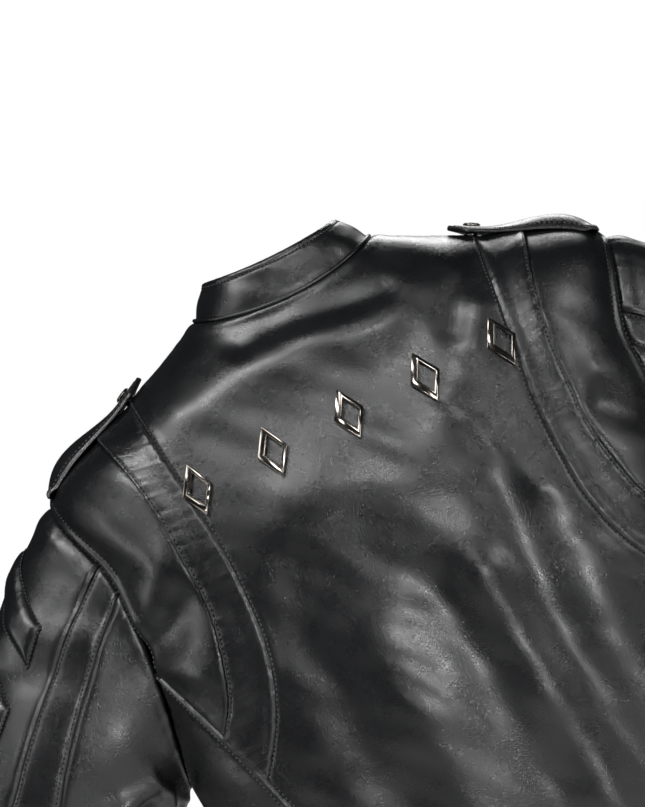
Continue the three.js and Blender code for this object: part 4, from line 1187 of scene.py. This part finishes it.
def chevronPad(name, tip, mirrored):
    # one quilted chevron: its point lies on the outer line and its two legs run back towards the stripes
    turns = np.linspace(-1, 1, 79)[None, :] * (chevron["tipTurn"] - 0.6)
    share = np.linspace(0, 1, 21)[:, None]
    turn = turns + 0 * share
    swept = chevron["rise"] * (1 - np.abs(turn) / chevron["tipTurn"]) ** chevron["bow"]
    way = alongSleeve(turn, tip - swept + share * chevron["long"])
    points, normals = mirroredPair(mirrored, sleeveSurface(turn, way), outward(sleeveSurface, turn, way))
    base = sleeveRelief(turn, way, mirrored)
    fromSides = np.minimum(share, 1 - share) * chevron["long"] * chevron["across"]
    fromTips = np.radians(chevron["tipTurn"] - np.abs(turn)) * sleeveRadius
    inside = np.minimum(fromSides, fromTips)
    crown = 1 - (1 - np.clip(inside / chevron["crownWidth"], 0, 1)) ** 2.4
    gathers = pucker(turn * 1.2 + share * 9, inside, spacing=9, height=0.35, reach=4)
    swell = (chevron["crown"] + gathers) * crown - ridge(np.abs(turn), chevron["crease"], 2.0)
    outer = points + normals * (base + chevron["lift"] + swell)[..., None]
    inner = points + normals * (base - chevron["sunk"])[..., None]
    made = closedShell(name, outer, inner, leather, ridge(inside - 2.0, 0.7, 1.6))
    line = np.concatenate([outer[0], outer[:, -1], outer[-1, ::-1], outer[::-1, 0]])
    facing = np.concatenate([normals[0], normals[:, -1], normals[-1, ::-1], normals[::-1, 0]])
    sew(f"sleeve_{'left' if mirrored else 'right'}", (line, facing), chevron["stitchPitch"],
        chevron["stitchLift"])
    return made


def inflated(pad):
    # a short cloth simulation blows the pad up; every point keeps a capped share of its move
    copy = pad.copy()
    copy.data = pad.data.copy()
    bpy.context.scene.collection.objects.link(copy)
    remesh = copy.modifiers.new("even", "REMESH")
    remesh.mode = "VOXEL"
    remesh.voxel_size = chevron["voxel"]
    even = baked(copy, pad.name, leather)
    even.data.materials.clear()
    even.data.materials.append(leather)
    start = np.empty(len(even.data.vertices) * 3)
    even.data.vertices.foreach_get("co", start)
    start = start.reshape(-1, 3)
    cloth = even.modifiers.new("swell", "CLOTH")
    cloth.settings.use_pressure = True
    cloth.settings.uniform_pressure_force = chevron["pressure"]
    cloth.settings.effector_weights.gravity = 0
    cloth.settings.quality = 4
    cloth.point_cache.frame_start = 1
    cloth.point_cache.frame_end = chevron["frames"]
    for step in range(1, chevron["frames"] + 1):
        bpy.context.scene.frame_set(step)
    result = even.evaluated_get(bpy.context.evaluated_depsgraph_get())
    moved = np.empty(len(start) * 3)
    result.data.vertices.foreach_get("co", moved)
    moved = moved.reshape(-1, 3) - start
    even.modifiers.clear()
    far = np.linalg.norm(moved, axis=1, keepdims=True)
    kept = moved * np.minimum(1, chevron["cap"] * mm / np.maximum(far, 1e-9)) * chevron["keep"]
    even.data.vertices.foreach_set("co", (start + kept).ravel())
    even.data.update()
    for face in even.data.polygons:
        face.use_smooth = True
    name = pad.name
    bpy.data.objects.remove(pad)
    even.name = name
    bpy.context.scene.frame_set(1)
    return even


for side, mirrored, sign in sides:
    for i in range(chevron["count"]):
        tip = chevron["firstTip"] + i * chevron["pitch"]
        pad = chevronPad(f"quiltedChevron{i + 1}_{side}", tip, mirrored)
        pad = inflated(pad)
        sleevePiece(pad, side, "leather", *([f"quilted_patch_{side}"] if i == chevron["nodeIndex"] else []))
print("quilted pads made")

# epaulettes

strap = {"length": 112, "width": 46, "thickness": 3.2, "cutCorner": 13, "arch": 11, "flatEnd": 25.5,
         "droop": 3.0, "archDroop": 7.0, "topstitch": 3.2, "groove": 0.3}


def makeEpaulette(side, sign):
    hinge = next(j for j in frame["joints"] if j["name"] == f"epaulette_hinge_{side}")
    foot = np.array(hinge["pos_m"]) / mm
    node = frame["nodes"][f"epaulette_{side}"]
    tip = max((v.co for v in node.data.vertices), key=lambda c: -abs(c.x))
    rise = math.atan2(tip.z / mm - foot[2], abs(foot[0]) - abs(tip.x / mm))
    along = np.array([-sign * math.cos(rise), 0, math.sin(rise)])
    up = np.array([sign * math.sin(rise), 0, math.cos(rise)])
    way = np.unique(np.concatenate([np.linspace(0, strap["length"], 58), [0.4, 1, 2],
                                    strap["length"] - np.array([0.4, 1, 2, 3.2])]))
    edge = -np.cos(np.linspace(0, math.pi, 39))
    reach = strap["width"] / 2 - np.clip(way - (strap["length"] - strap["cutCorner"]), 0, None)
    t = np.clip(way / (strap["length"] - strap["flatEnd"]), 0, 1)
    hump = 6.75 * t * (1 - t) ** 2
    y = edge[None, :] * reach[:, None]
    droop = (strap["droop"] + strap["archDroop"] * hump) * eased(way / 12)
    lift = (strap["arch"] * hump)[:, None] - (2 * y / strap["width"]) ** 2 * droop[:, None]
    inside = np.minimum(reach[:, None] - np.abs(y), np.minimum(way, strap["length"] - way)[:, None])
    softened = rounding(inside, strap["thickness"] / 2)
    groove = ridge(inside - strap["topstitch"], strap["groove"], 0.9)
    spine = foot + way[:, None] * along
    base = spine[:, None] + y[..., None] * np.array([0, 1, 0]) + lift[..., None] * up
    outer = base + (strap["thickness"] - softened - groove)[..., None] * up
    inner = base + softened[..., None] * up
    made = closedShell(f"epaulette_{side}Strap", outer, inner, leather, ridge(inside - 1.2, 1, 1.4))
    finishPiece(made, f"epaulette_{side}", "leather", f"epaulette_{side}")
    for k in (-1, 1):
        line = []
        for i in range(3, len(way) - 6):
            at = k * (reach[i] - strap["topstitch"])
            line.append([np.interp(at, y[i], outer[i, :, c]) for c in range(3)])
        sew(f"epaulette_{side}", (np.array(line), np.tile(up, (len(line), 1))))


for side, mirrored, sign in sides:
    makeEpaulette(side, sign)

# collar tab, snaps, badges, zip sliders and pulls: cast or cut pieces with eased edges


def easedCopy(node, name, material, width, segments=2, angle=28):
    source = frame["nodes"][node]
    mesh = source.data.copy()
    work = bmesh.new()
    work.from_mesh(mesh)
    bmesh.ops.remove_doubles(work, verts=work.verts, dist=0.00001)
    bmesh.ops.dissolve_limit(work, angle_limit=math.radians(2), verts=work.verts, edges=work.edges)
    for face in work.faces:
        face.smooth = True
    work.to_mesh(mesh)
    work.free()
    mesh.materials.clear()
    mesh.materials.append(material)
    made = bpy.data.objects.new(name + "Plain", mesh)
    bpy.context.scene.collection.objects.link(made)
    bevel = made.modifiers.new("easedEdges", "BEVEL")
    bevel.width = width * mm
    bevel.segments = segments
    bevel.limit_method = "ANGLE"
    bevel.angle_limit = math.radians(angle)
    bevel.harden_normals = True
    return baked(made, name, material)


hardware = {"collar_tab": ("leather", leather, 0.8), "collar_tab_snap": ("dark_metal", gunmetal, 0.25),
            "collar_stud": ("dark_metal", gunmetal, 0.25), "front_zip_slider": ("dark_metal", gunmetal, 0.3),
            "front_zip_pull": ("dark_metal", gunmetal, 0.35)}
for side, mirrored, sign in sides:
    for node in ("epaulette_snap", "epaulette_post"):
        hardware[f"{node}_{side}"] = ("dark_metal", gunmetal, 0.25)
    for node in ("pocket_zip_slider", "cuff_zip_slider"):
        hardware[f"{node}_{side}"] = ("dark_metal", gunmetal, 0.3)
    for node in ("pocket_zip_pull", "cuff_zip_pull"):
        hardware[f"{node}_{side}"] = ("dark_metal", gunmetal, 0.35)
for i in range(1, 6):
    hardware[f"badge_{i}"] = ("dark_metal", gunmetal, 0.75)
bodyOf = {node: name for name, members in frame["record"]["behaviour"]["bodies"].items() for node in members}
for node, (slot, material, width) in hardware.items():
    made = easedCopy(node, node.replace("_", "") + "Cast", material, width)
    finishPiece(made, bodyOf[node], slot, node)
print("straps and hardware made")

# zips: tapes keep their CAD shape, teeth are added

for side, mirrored, sign in sides:
    for node in (f"front_zip_tape_{side}", f"pocket_zip_{side}", f"cuff_zip_{side}"):
        made = frame["nodes"][node]
        made.data.materials.clear()
        made.data.materials.append(tape)

frontZip = {"bottom": 22, "top": 740, "inside": 7.2, "lift": -0.15}
pocketZip = {"bottom": 95, "top": 230, "bottomX": 146, "topX": 112, "lift": 1.7}
cuffZip = {"start": 287, "turn": 125, "lift": 1.6}
for side, mirrored, sign in sides:
    rows = np.arange(frontZip["bottom"], frontZip["top"], 2.0)
    angles = angleAt(seamX("frontEdge", rows) - frontZip["inside"], rows)
    line, facing = mirroredPair(mirrored, bodyPoint(angles, rows), outward(bodyPoint, angles, rows))
    addRun(toothRuns, "jacket", line, facing, tooth["pitch"] * 2, frontZip["lift"])
for side, mirrored, sign in sides:
    rows = np.arange(pocketZip["bottom"] + 2, pocketZip["top"] - 2, 2.0)
    x = np.interp(rows, [pocketZip["bottom"], pocketZip["top"]], [pocketZip["bottomX"], pocketZip["topX"]])
    angles = angleAt(x, rows)
    line, facing = mirroredPair(mirrored, bodyPoint(angles, rows), outward(bodyPoint, angles, rows))
    addRun(toothRuns, "jacket", line, facing, tooth["pitch"], pocketZip["lift"])
    ways = np.arange(cuffZip["start"], tubeEnd - 4, 2.0)
    turns = np.full_like(ways, cuffZip["turn"])
    line, facing = mirroredPair(mirrored, sleeveSurface(turns, ways), outward(sleeveSurface, turns, ways))
    addRun(toothRuns, f"sleeve_{side}", line, facing, tooth["pitch"], cuffZip["lift"])

for key, runs in toothRuns.items():
    made = repeated("zipTeeth_" + key, runs, toothTree, tooth["size"], gunmetal)
    finishPiece(made, key, "dark_metal")
for label, allRuns, size, material in (("stitches_", stitchRuns, stitch["size"], thread),
                                       ("needleHoles_", holeRuns, stitch["hole"], shade)):
    for key, runs in allRuns.items():
        made = repeated(label + key, runs, stitchTree, size, material)
        if key.startswith("sleeve_"):
            across(made, key.split("_")[1])
        else:
            finishPiece(made, key, "leather")
print("zips and stitches made")
